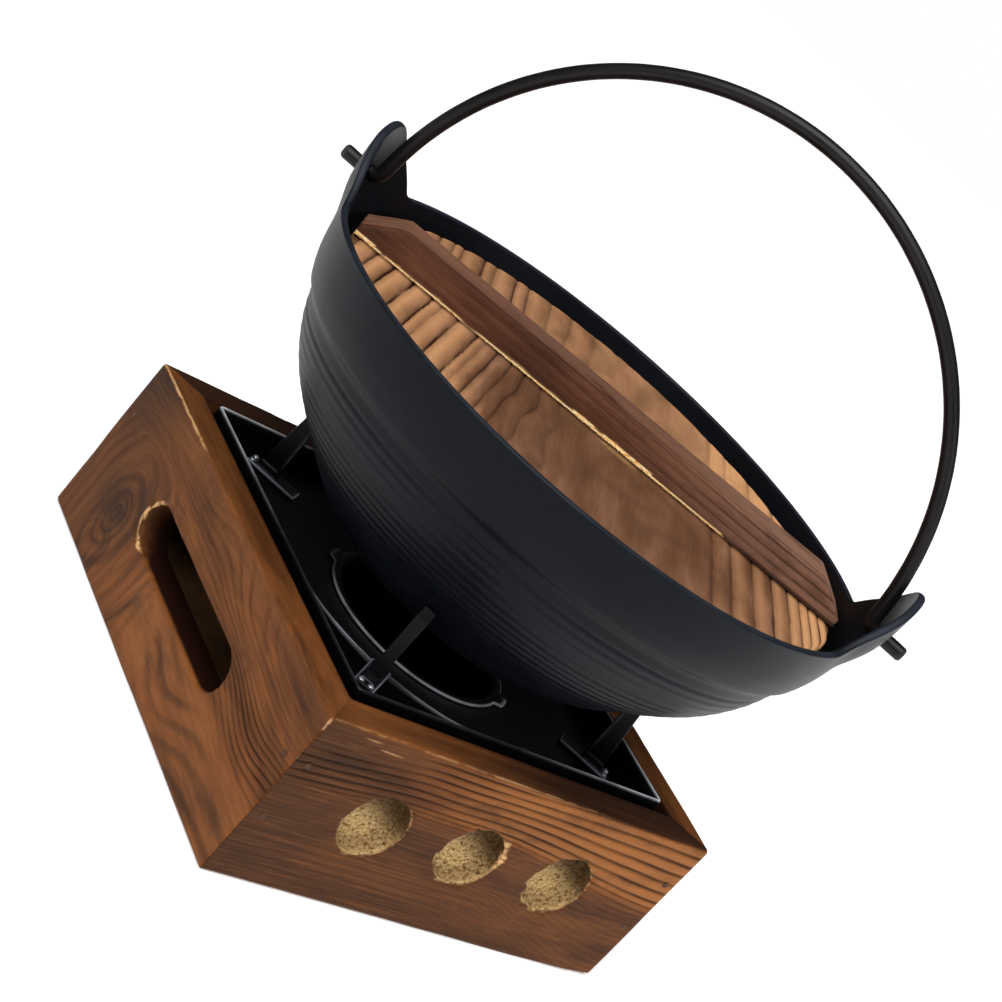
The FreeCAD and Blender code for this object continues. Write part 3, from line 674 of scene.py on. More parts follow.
def straight_grain(u, v, w, seed):
    """Marks of a board with bold straight rings above and fine grey ones below."""
    place = np.column_stack([u, v, w])
    sway = 0.7 * waves(place, (70, 400, 400), seed) + 0.25 * waves(place, (22, 14, 14), seed + 1)
    below = 62 - v + sway - 4.5 * rise(-u, 36, 100) + 0.3 * w
    count = below / (3.1 + 1.8 * rise(u, -5, 95))
    upper = fall(count, 4.2, 6.2)
    bold = (0.26 + 0.72 * upper) * (1 - 0.75 * rise(-u, 34, 60) * rise(v, 58, 62))
    soft = 0.42 * fall(v, 18, 30) * fall(u, -20, 40)
    tone = -0.6 + 1.45 * upper * rise(u, -62, 10) - 0.3 * rise(-u, 50, 90) + 0.15 * rise(u, 0, 90)
    ring = -(count + 0.75 * np.maximum(count - 4.3, 0))
    return {"ring": ring, "bold": bold, "loop": v / 3.3, "soft": soft, "tone": tone, "along": u, "across": v}


# how far each board is turned, its grain and the seed of its noise
BOARDS = {
    "board_slot_left": (0, knotty_grain, 1), "board_recess_front": (90, straight_grain, 2),
    "board_slot_right": (180, knotty_grain, 5), "board_recess_back": (270, straight_grain, 7)}


def slot_marks(u, v, w, edge):
    """Worn edges and shade of a board with a hand slot."""
    gap = stadium(u, v)
    left = fall(u + 0.5 * np.abs(v - SLOT_HEIGHT + 6), -40, -24)
    low = (v < SLOT_HEIGHT) * near(u - 30, 9) * 0.4
    rim = edge * (0.85 - 0.5 * rise(u, -50, -30) - 0.15 * rise(u, 42, 60))
    rim = np.maximum(rim, spot(gap, w, 1.1) * np.clip(1.25 * left + low, 0, 1))
    # painted shade: darker the deeper into the hand slot
    dark = rise(w, 0.9, 2.6 + 8 * left + 6 * rise(u, 36, 44)) * fall(gap, 0.5, 1.5)
    return {"rim": rim, "raw": 0 * u, "dark": dark, "shadow_and_stain": 0 * u}


def recess_marks(u, v, w, edge):
    """Worn edges, scratches, raw recesses and the painted shadow inside the recesses of a board with three of
    them.
    """
    gap = nearest_recess(u, v)
    across = nearest_across(u)
    scratches = spot((u + 66) / 10, (v - 64.6) / 0.5, 1) + spot((u + 74) / 5, (v - 67) / 0.4, 1)
    rim = edge * (0.62 - 0.35 * rise(u, 20, 60)) + 0.6 * scratches * (w < 1)
    chip = np.maximum(spot(u - 9.5, v - 46, 3), spot(u - 12, v - 39, 2.5))
    right = spot(gap, w, 0.7 + 1.3 * chip) * np.maximum(0.75 * rise(across, 3, 9) * (v < 50), chip)
    raw = rise(w, 0.3, 1.2) * fall(gap, 0.7, 1.6) * fall(w, RECESS_DEPTH + 1, RECESS_DEPTH + 2)
    # painted shadow: darker towards the top of each recess, and a darker ring just inside its edge
    shadow_and_stain = 0.9 * rise((v - RECESS_HEIGHT) + 0.45 * across, -6, 9)
    shadow_and_stain = np.maximum(shadow_and_stain, 0.45 * near(gap, 1.2) * rise(w, 0.8, 2))
    return {"rim": np.maximum(rim, right), "raw": raw, "dark": 0 * u, "shadow_and_stain": shadow_and_stain}


def board_marks(kind, u, v, w, seed):
    """Everything the wood look needs at each point of a board."""
    marks = kind(u, v, w, seed)
    slotted = kind is knotty_grain
    top = BOX_HEIGHT - v
    on_top = fall(top, 0.3, 1.3)
    # painted shadow of the tray and pot: the recessed boards' tops get darker and cooler towards one end
    painted_top_shadow = 0 * u if slotted else rise(u, -40, 25)
    marks["tone"] = marks["tone"] * (1 - on_top) + on_top * (-0.2 - 0.9 * painted_top_shadow)
    marks["bold"] = marks["bold"] * (1 - 0.6 * on_top)
    marks["soft"] = marks["soft"] * (1 - on_top)
    marks.update((slot_marks if slotted else recess_marks)(u, v, w, spot(top, w, 0.85)))
    toe = spot(HALF - np.abs(u), w, 0.8) * (rise(v, 63, 65) + 0.6 * near(v - 52, 1.5))
    marks["rim"] = np.maximum.reduce([marks["rim"], 0.85 * toe, 0.12 * spot(v, w, 1)])
    # painted shade on the boards' inner faces, and painted shadow on the tops
    inner_face = rise(w, BOARD - 1.5, BOARD - 0.4)
    marks["dark"] = np.maximum.reduce([marks["dark"], 0.7 * inner_face, 0.45 * painted_top_shadow * on_top])
    return marks


def board_relief(kind, points, marks, u, v, w, seed):
    """How deep the brushed face lies below the flat one, in mm."""
    slotted = kind is knotty_grain
    outside = fall(w, 0.4, 1) + fall(BOX_HEIGHT - v, 0.4, 1)
    groove = swing(marks["ring"] + 0.065 - 0.88)
    hollow = swing(marks["loop"] + 0.17 - 0.8)
    brushed = 0.36 * marks["bold"] * groove ** 2 + 0.14 * marks["soft"] * hollow + 0.05
    chips = np.clip(waves(points, (4.5, 4.5, 3), seed + 9) - 0.35, 0, 1)
    depth = 0.05 + np.clip(outside, 0, 1) * brushed + (0.7 if slotted else 1.2) * marks["rim"] * chips
    if slotted:
        torn = spot(stadium(u, v), w, 1.6) * rise(waves(points, 3.1, seed + 6), 0, 0.6)
        depth += 1.1 * torn * fall(u, -44, -30)
    else:
        ragged = rise(waves(points, 1.7, seed + 4), -0.2, 0.8)
        depth += marks["raw"] * (0.65 * ragged + 0.25 * waves(points, 5, seed + 5))
        depth += 0.9 * spot(nearest_recess(u, v), w, 1.3) * rise(waves(points, 2.6, seed + 6), 0.1, 0.7)
    for height in SLOT_BRADS if slotted else RECESS_BRADS:
        gap = np.hypot(HALF - BRAD_INSET - np.abs(u), v - height)
        depth += 0.2 * fall(gap, 1.5, 2.3) * fall(w, 1, 1.6)
    return np.maximum(depth, 0.02)


def rounded_box(points):
    """Outer points of the box pushed back on to unevenly worn, rounded edges."""
    corner = spot(points[:, 0] - HALF, points[:, 1] + HALF, 12)
    radius = ARRIS + 0.35 * waves(points, (16, 16, 12), 3) + 1.2 * corner
    reach = np.array([HALF, HALF]) - radius[:, None]
    core = points.copy()
    core[:, :2] = np.clip(points[:, :2], -reach, reach)
    core[:, 2] = np.clip(points[:, 2], 0.6 * radius, BOX_HEIGHT - radius)
    away = points - core
    length = np.linalg.norm(away, axis=1)
    allowed = np.where(points[:, 2] < BOX_HEIGHT / 2, 0.6 * radius, radius)
    allowed = np.where(np.abs(away[:, 2]) < 1e-6, radius, allowed)
    over = length > allowed
    points[over] = core[over] + away[over] * (allowed[over] / length[over])[:, None]
    return points


def shape_boards(skin):
    """Rounds the skin and brushes each board's own grain into it."""
    points = rounded_box(points_of(skin))
    move_points(skin, points)
    normals = normals_of(skin)
    for turn, kind, seed in BOARDS.values():
        u, v, w = board_space(points, turn)
        own = w < np.minimum(HALF - np.abs(u), BOARD + 1)
        marks = board_marks(kind, u[own], v[own], w[own], seed)
        depth = board_relief(kind, points[own], marks, u[own], v[own], w[own], seed)
        points[own] -= normals[own] * depth[:, None]
    points[:, 2] = np.maximum(points[:, 2], 0)
    move_points(skin, points)


def split_board(skin, turn):
    """The part of the skin that is one board, closed along its two mitres."""
    mesh = skin.copy()
    with edited(mesh) as shape:
        for side in (-1, 1):
            across = turned(np.array([[1, side, 0]]), radians(turn))[0]
            bmesh.ops.bisect_plane(shape, geom=[*shape.verts, *shape.edges, *shape.faces], dist=1e-7,
                                   plane_co=(0, 0, 0), plane_no=across, clear_outer=True)
            bmesh.ops.edgeloop_fill(shape, edges=[edge for edge in shape.edges if edge.is_boundary])
    return mesh


def wooden_box(look):
    skin = box_skin()
    shape_boards(skin)
    for name, (turn, kind, seed) in BOARDS.items():
        mesh = split_board(skin, turn)
        u, v, w = board_space(points_of(mesh), turn)
        marks = board_marks(kind, u, v, w, seed)
        give_marks(mesh, marks, np.column_stack([marks.pop("along") + 300 * seed, marks.pop("across"), w]))
        finish_piece("brushed_" + name, mesh, "stove_box", "burnt_wood", look, name)


# ---- the burner tray ----

def square_ring(half, corner, height, per_side=44, per_corner=8):
    """Points around a square with rounded corners."""
    straight = half - corner
    angles = np.linspace(0, pi / 2, per_corner, endpoint=False)
    side = [(half, y, height) for y in np.linspace(-straight, straight, per_side, endpoint=False)]
    side += [(straight + corner * cos(a), straight + corner * sin(a), height) for a in angles]
    return np.vstack([turned(np.array(side), quarter * pi / 2) for quarter in range(4)])


def tray_mesh():
    """The pan as one closed band of rings."""
    outline = square_ring(TRAY_HALF, TRAY_CORNER, TRAY_TOP)
    rings = []
    table = [(part, *ring) for part, ring_list in TRAY_RINGS.items() for ring in ring_list]
    for kind, size, height, *steps in table:
        if kind == "wall":
            ring = square_ring(TRAY_HALF - size, max(TRAY_CORNER - size, 0.5), height)
        elif kind == "well":
            ring = square_ring(TRAY_HALF - TRAY_WALL - size, WELL_CORNER, height)
        else:
            ring = np.column_stack([unit(outline[:, :2]) * size, np.full(len(outline), height)])
        for count in steps:
            rings += [rings[-1] + (ring - rings[-1]) * i / count for i in range(1, count)]
        rings.append(ring)
    mesh = woven(rings, ring=True)
    give_value(mesh, "rim", tray_painted_highlights(points_of(mesh)))
    return mesh


def tray_painted_highlights(points):
    """Painted highlights on the enamel: along the rim near two corners and on parts of the dish's edge."""
    x, y, z = points.T
    top = near(z - TRAY_TOP, 0.35) * near(np.abs(points[:, :2]).max(1) - TRAY_HALF + TRAY_WALL * 0.6, 0.5)
    corner = spot(np.abs(x) - TRAY_HALF, np.abs(y) - TRAY_HALF, 30) * (x * y < 0)
    angle = np.degrees(np.arctan2(y, x))
    arcs = near(angle + 152, 13) + near(angle + 108, 13)
    dish = near(np.hypot(x, y) - DISH_RADIUS - 0.3, 0.45) * (z > TRAY_FLOOR - 0.4)
    return np.clip(top * (0.04 + 0.96 * corner) + 0.8 * dish * arcs, 0, 1)


def claw_mesh(turn):
    """Cast claw: a radial fin whose tip follows the bowl, on a small foot."""
    fin = prism([(x, -CLAW_HALF, z) for x, z in CLAW_FIN], (0, 2 * CLAW_HALF, 0))
    foot = prism([(x, y, FOOT_LOW) for x, y in CLAW_FOOT], (0, 0, FOOT_LIFT))
    heel = prism([(x, -CLAW_HALF - 0.5, z) for x, z in CLAW_WELD], (0, 2 * CLAW_HALF + 1, 0))
    mesh = remeshed(combined(fin, "UNION", (foot, heel)), CLAW_VOXEL)
    with edited(mesh) as shape:
        for _ in range(3):
            bmesh.ops.smooth_vert(shape, verts=shape.verts, factor=0.5, use_axis_x=True, use_axis_y=True,
                                  use_axis_z=True)
    points = points_of(mesh)
    x, y, z = points.T
    # painted highlights along the fin's upright edges and along the foot's edges
    upright = spot(np.abs(y) - CLAW_HALF, x - CLAW_BACK, 0.45) * rise(z, TRAY_FLOOR + 4, TRAY_FLOOR + 12)
    foot_edge = near(z - TRAY_FLOOR - 1.5, 0.4) * (near(np.abs(y) - 4.1, 0.35) + near(x - 65.4, 0.35))
    give_value(mesh, "rim", np.clip(0.8 * upright + 1.2 * foot_edge, 0, 1))
    points[:, 2] = np.maximum(points[:, 2], FOOT_LOW)
    move_points(mesh, turned(points, radians(turn)))
    return mesh


def cup_mesh():
    """Pressed cup with a rolled rim and two small finger tabs."""
    profile = [(8, 24), (18, 24), *smooth_path(CUP_OUTER, 1.6), *CUP_LIP, *smooth_path(CUP_INNER, 1.6),
               (18, 25.2), (8, 25.2)]
    mesh = woven(ring_rows(profile, circle(144)))
    points = points_of(mesh)
    radius = np.hypot(points[:, 0], points[:, 1])
    angle = np.arctan2(points[:, 1], points[:, 0]) + radians(45)
    off = np.abs((angle + pi / 2) % pi - pi / 2) * radius
    reach = fall(off, 3.2, 5) * rise(radius, 37.4, 39)
    points[:, :2] *= (1 + 3 * reach / np.maximum(radius, 1))[:, None]
    points[:, 2] += 0.35 * reach
    top = DISH_FLOOR + 1.2
    # painted highlight: a thin light ring along the outer edge of the rolled rim, reaching onto the tabs
    give_value(mesh, "rim", near(points[:, 2] - top + 0.3 - 0.35 * reach, 0.6) * rise(radius, 38.7, 39.2))
    move_points(mesh, points)
    return mesh


def burner(tray_look, claw_look):
    finish_piece("enamelled_tray", tray_mesh(), "burner_tray", "black_tray", tray_look, "tray")
    for name, turn in CLAW_TURNS.items():
        finish_piece("cast_" + name, claw_mesh(turn), "burner_tray", "black_claws", claw_look, name)
    finish_piece("pressed_cup", cup_mesh(), "fuel_cup", "black_tray", tray_look, "fuel_cup")


# ---- the pot ----

def rim_height(y):
    """Height of the pot's edge at a distance y from the line of the ears."""
    y = np.abs(y)
    centre = EAR_TOP - LIP_ROUND - EAR_ROUND
    shoulder = EAR_ROUND * sqrt(0.5)
    fillet_z = POT_RIM + EAR_FILLET
    fillet_y = (centre + shoulder - fillet_z) + shoulder + EAR_FILLET * sqrt(2)
    touch = fillet_y - EAR_FILLET * sqrt(0.5)
    top = centre + np.sqrt(np.maximum(EAR_ROUND ** 2 - y ** 2, 0))
    slope = centre + 2 * shoulder - y
    fillet = fillet_z - np.sqrt(np.maximum(EAR_FILLET ** 2 - (fillet_y - y) ** 2, 0))
    return np.select([y < shoulder, y < touch, y < fillet_y], [top, slope, fillet], POT_RIM)


def band_radius(height, y):
    """Outer radius of the band and the ears."""
    band = smooth_path(BAND, 0.8)
    plain = np.interp(height, band[:, 1], band[:, 0]) + 0.12 * np.maximum(height - POT_RIM, 0)
    face = smooth_path(EAR_FACE, 0.8)
    ear = np.interp(height, face[:, 1], face[:, 0])
    return plain + (np.maximum(ear, plain) - plain) * (fall(np.abs(y), 12, 34) * rise(height, 151, 160))


def pot_angles():
    """Angles around the pot, closest together around the ears' holes."""
    quarter = np.concatenate([np.arange(0, 4, 0.33), np.arange(4, 24, 0.8), np.arange(24, 90, 1.2)])
    side = np.concatenate([quarter, 180 - quarter[:0:-1]])
    return np.radians(np.concatenate([side, side + 180]))


def ribbed_bowl():
    """Outer profile of the bowl with its fine turned ribs, from the bottom up."""
    path = smooth_path(BOWL, 0.72)
    along = np.concatenate([[0], np.cumsum(np.linalg.norm(np.diff(path, axis=0), axis=1))])
    direction = unit(np.gradient(path, axis=0))
    inwards = np.column_stack([-direction[:, 1], direction[:, 0]])
    part = (along / 4.3 + 0.12 * np.sin(along / 9) + 0.08 * np.sin(along / 3.7)) % 1
    groove = (np.exp(-((part - 0.5) / 0.15) ** 2) + 0.4 * part) * (0.75 + 0.35 * np.sin(along / 5.3))
    depth = 0.55 * groove * rise(along, 3, 10) * fall(path[:, 1], 133.5, 136)
    return path + inwards * depth[:, None]


def pot_mesh():
    """Cast body in one skin: bottom, ribbed bowl, rounded step, band with ears, lip, ledge, inside."""
    angles = pot_angles()
    reach = 120 * np.sin(angles)
    top = rim_height(reach)
    outer, inner, lip = [], [], []
    for part in np.linspace(0, 1, 72) ** 0.92:
        height = BAND_FOOT + (top - BAND_FOOT) * part
        radius = band_radius(height, reach)
        outer.append(around(radius, height, angles))
        inner.append(around(radius - POT_WALL, height, angles))
    for turn in np.linspace(0, pi, 9)[1:-1]:
        radius = band_radius(top, reach) - POT_WALL / 2 + POT_WALL / 2 * cos(turn)
        lip.append(around(radius, top + LIP_ROUND * sin(turn), angles))
    rows = ring_rows([*POT_UNDER, *ribbed_bowl(), *POT_STEP], angles)
    first_outer = len(rows)
    rows += outer + lip
    first_inner = len(rows)
    rows += inner[::-1] + ring_rows([*LEDGE, *smooth_path(POT_INSIDE, 1.6), *POT_FLOOR], angles)
    skip, bore = ear_holes(rows, first_outer, first_inner, len(outer), len(angles))
    mesh = woven(rows, skip=skip, extra=bore)
    with edited(mesh) as shape:
        loose = [point for point in shape.verts if not point.link_faces]
        bmesh.ops.delete(shape, geom=loose, context="VERTS")
    points = points_of(mesh)
    edge_gap = points[:, 2] - (rim_height(points[:, 1]) + LIP_ROUND)
    # painted highlight: a thin lighter line along the lip
    give_value(mesh, "rim", near(edge_gap, 0.4) * rise(np.hypot(points[:, 0], points[:, 1]), 112, 114))
    move_points(mesh, turned(points, POT_TURN))
    return mesh


def hole_quads(rows, first_outer, count, width, side, radius):
    """The quads of the outer wall whose middles lie inside one ear's hole."""
    opened = set()
    for i, j in product(range(count - 1), range(width)):
        k = (j + 1) % width
        quad = [rows[first_outer + a][b] for a, b in ((i, j), (i, k), (i + 1, k), (i + 1, j))]
        x, y, z = np.mean(quad, axis=0)
        if side * x > 0 and hypot(y, z - PIN_HEIGHT) < radius:
            opened.add((i, j))
    return opened


def hole_edges(opened, width):
    """The edges around a set of quads, as pairs of (row, column)."""
    edges = []
    for i, j in opened:
        k = (j + 1) % width
        left, right, upper_left, upper_right = (i, j), (i, k), (i + 1, j), (i + 1, k)
        edges += [(left, right), (upper_right, upper_left), (upper_left, left), (right, upper_right)]
    return [edge for edge in edges if edge[::-1] not in edges]


def ear_holes(rows, first_outer, first_inner, count, width):
    """Round holes through the ears: snaps the points around each hole on to its edge.
    Returns the quads to leave out and the faces of the bores."""
    radius = ROD / 2 + 0.2
    last_inner = first_inner + count - 1
    skip = set()
    bore = []
    for side in (1, -1):
        opened = hole_quads(rows, first_outer, count, width, side, radius)
        edges = hole_edges(opened, width)
        for i, j in {end for edge in edges for end in edge}:
            for row, inset in ((first_outer + i, 0), (last_inner - i, POT_WALL)):
                arm = rows[row][j][1:] - (0, PIN_HEIGHT)
                y, z = arm / np.linalg.norm(arm) * radius + (0, PIN_HEIGHT)
                wall = band_radius(np.array([z]), np.array([y]))[0] - inset
                rows[row][j] = (side * sqrt(wall ** 2 - y ** 2), y, z)
        for i, j in opened:
            skip |= {(first_outer + i, j), (last_inner - 1 - i, j)}
        for (i, j), (p, q) in edges:
            bore.append(((first_outer + i) * width + j, (first_outer + p) * width + q,
                         (last_inner - p) * width + q, (last_inner - i) * width + j))
    return skip, bore


# ---- the bail ----

def bail_path():
    """Middle line of the rod in the plane of the ears, (across, up): pin, elbow, arch, elbow, pin."""
    centre = PIN_HEIGHT - BAIL_DROP
    elbow_x = sqrt((BAIL_RADIUS + ELBOW) ** 2 - (ELBOW + BAIL_DROP) ** 2)
    lean = atan2(ELBOW + BAIL_DROP, elbow_x)
    end = PIN_REACH - PIN_ROUND
    pin = [(end - t * (end - elbow_x), PIN_HEIGHT) for t in np.linspace(0, 1, 9)[:-1]]
    elbow = [(elbow_x + ELBOW * cos(a), PIN_HEIGHT + ELBOW + ELBOW * sin(a))
             for a in np.linspace(-pi / 2, -pi + lean, 12)]
    arch = [(BAIL_RADIUS * cos(a), centre + BAIL_RADIUS * sin(a))
            for a in np.linspace(lean, pi / 2, 90)[1:]]
    half = pin + elbow + arch
    return np.array(half + [(-x, z) for x, z in half[-2::-1]])


def bail_mesh():
    """Round rod along the path, with rounded ends and a slight hand-bent unevenness."""
    path = bail_path()
    along = unit(np.gradient(path, axis=0))
    first, last = along[0] * PIN_ROUND, along[-1] * PIN_ROUND
    middles = [path[0] - first, path[0] - first / 2, *path, path[-1] + last / 2, path[-1] + last]
    sizes = [0.8, 0.93, *np.ones(len(path)), 0.93, 0.8]
    ways = [along[0], along[0], *along, along[-1], along[-1]]
    rows = []
    for index, (middle, size, way) in enumerate(zip(middles, sizes, ways)):
        outwards = np.array([way[1], 0, -way[0]])
        swell = 1 - 0.008 * (1 + sin(index * 0.9) * sin(index * 0.37))
        reach = ROD / 2 * size * swell
        rows.append([(middle[0], 0, middle[1]) + reach * (cos(t) * outwards + sin(t) * np.array([0, 1, 0]))
                     for t in circle(28)])
    mesh = woven(rows)
    points = points_of(mesh)
    give_value(mesh, "rim", rise(np.abs(points[:, 0]), PIN_REACH - 1.4, PIN_REACH - 0.6))
    move_points(mesh, turned(points, POT_TURN))
    return mesh


# ---- the lid ----

def lid_grain(a, b, depth):
    """Marks of the lid's burnt stripes; each side of the batten is a board of its own."""
    place = np.column_stack([a, b, depth])
    sway = (0.3 + 1.5 * near(a + 20, 14)) * waves(place, (34, 24, 34), 11)
    sway += 0.22 * waves(place, (9, 5, 9), 12)
    across = a + sway + 0.11 * np.abs(b + BATTEN_BASE) * fall(a, -40, 0) * (b < 0)
    ring = np.zeros(len(a))
    bold = np.zeros(len(a))
    for stripes, side in ((FRONT_STRIPES, b < 0), (BACK_STRIPES, b >= 0)):
        places, strengths = np.array(stripes).T
        ring[side] = np.interp(across[side], places, np.arange(len(places)) + STRIPE_PHASE)
        bold[side] = np.interp(across[side], places, strengths)
    gold = fall(a, -62, -30) * (b < 0) + 0.7 * rise(a, 78, 100)
    tone = -0.75 + 1.35 * gold + 0.3 * rise(-b, 60, 95) * (b < 0) + 1.2 * (b > 0) + 0.95 * rise(a, 30, 70)
    # painted light and shade across each stripe, following the brushed grooves
    tone += 0.3 * bold * np.cos(tau * (ring - 0.05))
    return {"ring": ring, "bold": 1.2 * bold, "loop": a / 21 + 1.1 * waves(place, (46, 30, 30), 14),
            "soft": 0.5 * near(a - 12, 36), "tone": tone}


def rounded_disc(points):
    """Points of the lid pushed back on to its unevenly rounded edge."""
    radius = 2 + 0.5 * waves(points, 15, 4)
    wall = np.hypot(points[:, 0], points[:, 1])
    core_wall = np.minimum(wall, LID_RADIUS - 0.1 - radius)
    core_height = np.clip(points[:, 2], LID_UNDER + radius, LID_TOP - radius)
    out = wall - core_wall
    up = points[:, 2] - core_height
    length = np.hypot(out, up)
    share = np.where(length > radius, radius / np.maximum(length, 1e-9), 1)
    points[:, :2] *= ((core_wall + out * share) / np.maximum(wall, 1e-9))[:, None]
    points[:, 2] = core_height + up * share
    return points


def lid_board_mesh():
    outline = [(LID_RADIUS * cos(t), LID_RADIUS * sin(t), LID_UNDER) for t in circle(192)]
    mesh = remeshed(prism(outline, (0, 0, LID_TOP - LID_UNDER)), LID_VOXEL)
    points = points_of(mesh)
    wall = np.hypot(points[:, 0], points[:, 1])
    points = rounded_disc(points)
    move_points(mesh, points)
    marks = lid_grain(*points.T)
    depth = 0.14 + 0.55 * marks["bold"] * near(marks["ring"] % 1 - STRIPE_PHASE, 0.07)
    chips = np.clip(waves(points, 5, 8) - 0.3, 0, 1) * near(wall - LID_RADIUS, 2.5)
    points -= normals_of(mesh) * (depth + chips)[:, None]
    a, b, height = points.T
    knot = np.hypot((a - KNOT_PLACE[0]) / KNOT_SIZE[0], (b - KNOT_PLACE[1]) / KNOT_SIZE[1])
    marks["rim"] = np.maximum(0.45 * near(LID_RADIUS - np.hypot(a, b), 1.2), 0.3 * near(knot - 0.9, 0.14))
    marks["raw"] = 0.3 * fall(knot, 0.6, 0.95)
    # the knot's own darker middle
    marks["shadow_and_stain"] = 0.35 * fall(knot, 0.3, 0.9)
    # painted shade in the crease along both sides of the batten
    marks["dark"] = 0.6 * near(np.abs(b) - BATTEN_BASE - 0.5, 1.1)
    give_marks(mesh, marks, np.column_stack([b, a, height]))
    move_points(mesh, turned(points, LID_TURN))
    return mesh


def batten_mesh():
    """Bar with sloping flanks and ends, brushed, and torn along its front foot."""
    half, base = BATTEN_HALF, LID_TOP
    slope = half - BATTEN_SLOPE
    side = [(-half, base), (half, base), (half, base + BATTEN_RISE), (slope, base + BATTEN_HEIGHT),
            (-slope, base + BATTEN_HEIGHT), (-half, base + BATTEN_RISE)]
    bar = prism([(x, -BATTEN_BASE, z) for x, z in side], (0, 2 * BATTEN_BASE, 0))
    mesh = remeshed(bar, BATTEN_VOXEL)
    points = points_of(mesh)
    share = (points[:, 2] - base) / BATTEN_HEIGHT
    points[:, 1] *= 1 - share * (1 - BATTEN_TOP / BATTEN_BASE)
    place = points.copy()
    a, b, c = points.T
    c = c - base
    flank = BATTEN_BASE - share * (BATTEN_BASE - BATTEN_TOP) - np.abs(b)
    top = BATTEN_HEIGHT - c
    end_gap = np.minimum(half - np.abs(a), slope + top * 1.6 - np.abs(a))
    edges = np.maximum(0.9 * spot(top, end_gap, 1), 0.7 * spot(flank, end_gap, 0.8))
    edges = np.maximum(spot(flank, top, 0.8), edges)
    sway = 1.3 * waves(place, (80, 30, 30), 21) + 0.4 * waves(place, (30, 9, 9), 22)
    knot = np.exp(-np.hypot((a + 4) / 5, (b + 6) / 2.2) ** 2)
    ring = (np.where(b < -8.5, 7 + c * 0.9, b + 15.5) + sway + 1.8 * knot) / 2.9
    bold = np.clip(0.3 + 0.35 * rise(a, 0, 60) + 0.5 * waves(place, (60, 6, 6), 23), 0, 1)
    torn = np.clip(waves(place, (6, 3, 3), 25) - 0.2, 0, 1)
    depth = 0.04 + 0.22 * bold * swing(ring + 0.065 - 0.88) ** 2 + edges * (0.2 + 0.7 * torn)
    points -= normals_of(mesh) * (depth * rise(c, 0.15, 0.6))[:, None]
    front = near(flank, 1) * (b < 0)
    line = np.interp(a, *np.array(TORN_LINE).T) * (1 + 0.5 * waves(place, (7, 50, 50), 26))
    pale = front * fall(c, line - 0.25, line + 0.3) * (line > 0.2)
    # painted light: the top and back faces lighter than the front flank
    tone = 0.1 - 0.5 * rise(-a, -20, 60) * (b < -8) + 0.3 * rise(b, -8.5, -6) + 0.6 * rise(a, 10, 90)
    # dark: the knot's own darkness and painted shade along the front foot at the right end; the pale torn
    # line gets darker towards the right end
    marks = {"ring": ring, "bold": bold, "loop": a / 40, "soft": 0 * a, "rim": 0.28 * edges, "tone": tone,
             "raw": np.clip(1.6 * pale, 0, 1), "shadow_and_stain": 0.3 * rise(a, 26, 50),
             "dark": 0.75 * knot + 0.8 * front * fall(c, 0.8, 2) * rise(a, 58, 70)}
    give_marks(mesh, marks, np.column_stack([a + 900, b, c]))
    move_points(mesh, turned(points, LID_TURN))
    return mesh


# ---- studio ----

FLOOR_RADIUS, WALL_RADIUS, WALL_HEIGHT, STUDIO_SIDES = 6000, 5900, 5000, 96


def studio_circle(radius, height):
    return [(radius * cos(t), radius * sin(t), height) for t in circle(STUDIO_SIDES)]


def studio_floor():
    look = Look("studio_floor")
    place = look.place()
    base = look.ramp(look.noise(place, 900, 2), (0.2, 0.86), (0.8, 0.9))
    look.finish(base, 0.75, look.bump(look.noise(place, 6, 2), 0.02), specular=0.1, glow=0.3)
    mesh = mesh_from(studio_circle(FLOOR_RADIUS, 0), [tuple(range(STUDIO_SIDES))])
    mesh.materials.append(look.material)
    link("floor", mesh)


def backdrop():
    """A pale wall around the floor that only the camera sees."""
    look = Look("backdrop")
    look.finish((0, 0, 0), 1, look.bump(look.noise(look.place(), 300), 0.01), specular=0, glow=1)
    sides = STUDIO_SIDES
    faces = [(j, (j + 1) % sides, sides + (j + 1) % sides, sides + j) for j in range(sides)]
    mesh = mesh_from(studio_circle(WALL_RADIUS, 0) + studio_circle(WALL_RADIUS, WALL_HEIGHT), faces)
    mesh.materials.append(look.material)
    wall = link("backdrop", mesh)
    for ray in ("diffuse", "glossy", "transmission", "shadow"):
        setattr(wall, "visible_" + ray, False)


def aim(piece, sight, roll=0):
    """Turns a lamp or the camera to look along sight."""
    piece.rotation_mode = "QUATERNION"
    piece.rotation_quaternion = sight.to_track_quat("-Z", "Y") @ Quaternion((0, 0, 1), roll)


def lamp(name, place, size, power):
    """Soft rectangular lamp that looks at the object's middle."""
    light = bpy.data.lights.new(name, "AREA")
    light.shape = "RECTANGLE"
    light.size, light.size_y = size
    light.energy = power
    piece = link(name, light)
    piece.location = place
    aim(piece, Vector((0, 0, 0.12)) - Vector(place))
    return piece


def lights():
    world = bpy.data.worlds.new("studio")
    world.use_nodes = True
    background = world.node_tree.nodes["Background"].inputs
    background["Color"].default_value = (1, 1, 1, 1)
    background["Strength"].default_value = 0.06
    bpy.context.scene.world = world
    sun = bpy.data.lights.new("sun", "SUN")
    sun.energy = 3
    sun.angle = radians(50)
    aim(link("sun", sun), Vector((0.42, 0.32, -1)))
    lamp("key", (-1.1, -0.7, 1.3), (0.7, 0.7), 7)
    lamp("fill", (0.6, -1.5, 0.7), (0.9, 0.7), 5)
    side = lamp("side", (1.3, -0.15, 0.15), (0.5, 0.4), 14)
    side.visible_glossy = False             # it only lifts the pot's shaded side


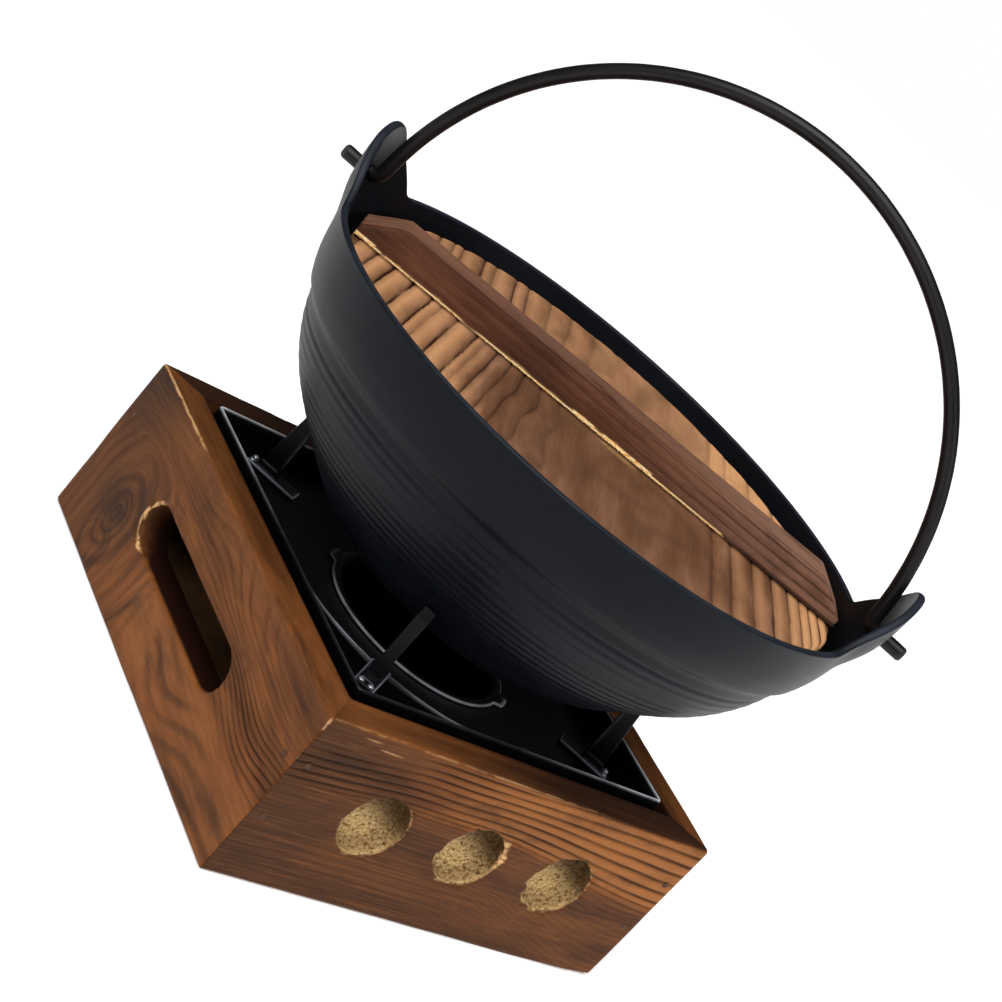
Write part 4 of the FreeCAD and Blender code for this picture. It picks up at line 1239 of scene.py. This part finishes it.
def camera():
    data = bpy.data.cameras.new("camera")
    data.lens = CAMERA_LENS
    data.sensor_width = CAMERA_SENSOR
    data.clip_start, data.clip_end = 0.01, 50
    piece = link("camera", data)
    piece.location = CAMERA_PLACE
    sight = Vector((cos(CAMERA_PITCH) * cos(CAMERA_HEADING),
                    cos(CAMERA_PITCH) * sin(CAMERA_HEADING), sin(CAMERA_PITCH)))
    aim(piece, sight, CAMERA_ROLL)
    bpy.context.scene.camera = piece


# ---- putting it together ----

def repaint(look, *names):
    """Gives carried-over CAD nodes their look."""
    for name in names:
        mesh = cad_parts[name].data
        mesh.materials.clear()
        mesh.materials.append(look)
        mesh.shade_smooth()


box_wood = brushed_wood("burnt_wood", WOOD)
lid_wood = brushed_wood("lid_wood", LID_WOOD, core=0.07, shoulder=0.22, sway=0.05, streaks=0.4, burn=0.35)
batten_wood = brushed_wood("batten_wood", BATTEN_WOOD, line=0.72, fine=2, streaks=0.8)
# the third colour of each is that of its edge marks: painted highlights on tray, cup, claws and pot lip
enamel = black_metal("black_tray", (3, 3, 5), (5, 6, 8), (232, 236, 242), rough=0.3, grain=0.004,
                     dents=0.004, specular=0.07)
claw_paint = black_metal("black_claws", (7, 8, 10), (14, 15, 18), (120, 124, 132), rough=0.34, grain=0.02,
                         dents=0.03, specular=0.16)
cast_iron = black_metal("black_iron", (8, 11, 16), (12, 16, 23), (38, 42, 50), rough=0.4, grain=0.03,
                        dents=0.03, specular=0.11)
rod_paint = black_metal("black_rod", (15, 13, 15), (24, 20, 22), (50, 48, 52), rough=0.36, grain=0.03,
                        dents=0.03, specular=0.22)

wooden_box(box_wood)
burner(enamel, claw_paint)
finish_piece("cast_pot", pot_mesh(), "pot", "black_iron", cast_iron, "pot")
finish_piece("bent_bail", bail_mesh(), "bail", "black_rod", rod_paint, "bail")
finish_piece("brushed_lid", lid_board_mesh(), "lid", "lid_wood", lid_wood, "lid_board")
finish_piece("burnt_batten", batten_mesh(), "lid", "batten_wood", batten_wood, "lid_batten")
repaint(plain_wood(), "base_panel", "ledger_left", "ledger_front", "ledger_right", "ledger_back")
repaint(dull_steel(), "corner_brads", "ledger_nails", "lid_screws")
repaint(bright_steel(), "claw_rivets")

studio_floor()
backdrop()
lights()
camera()
bpy.context.scene.view_settings.view_transform = "Standard"
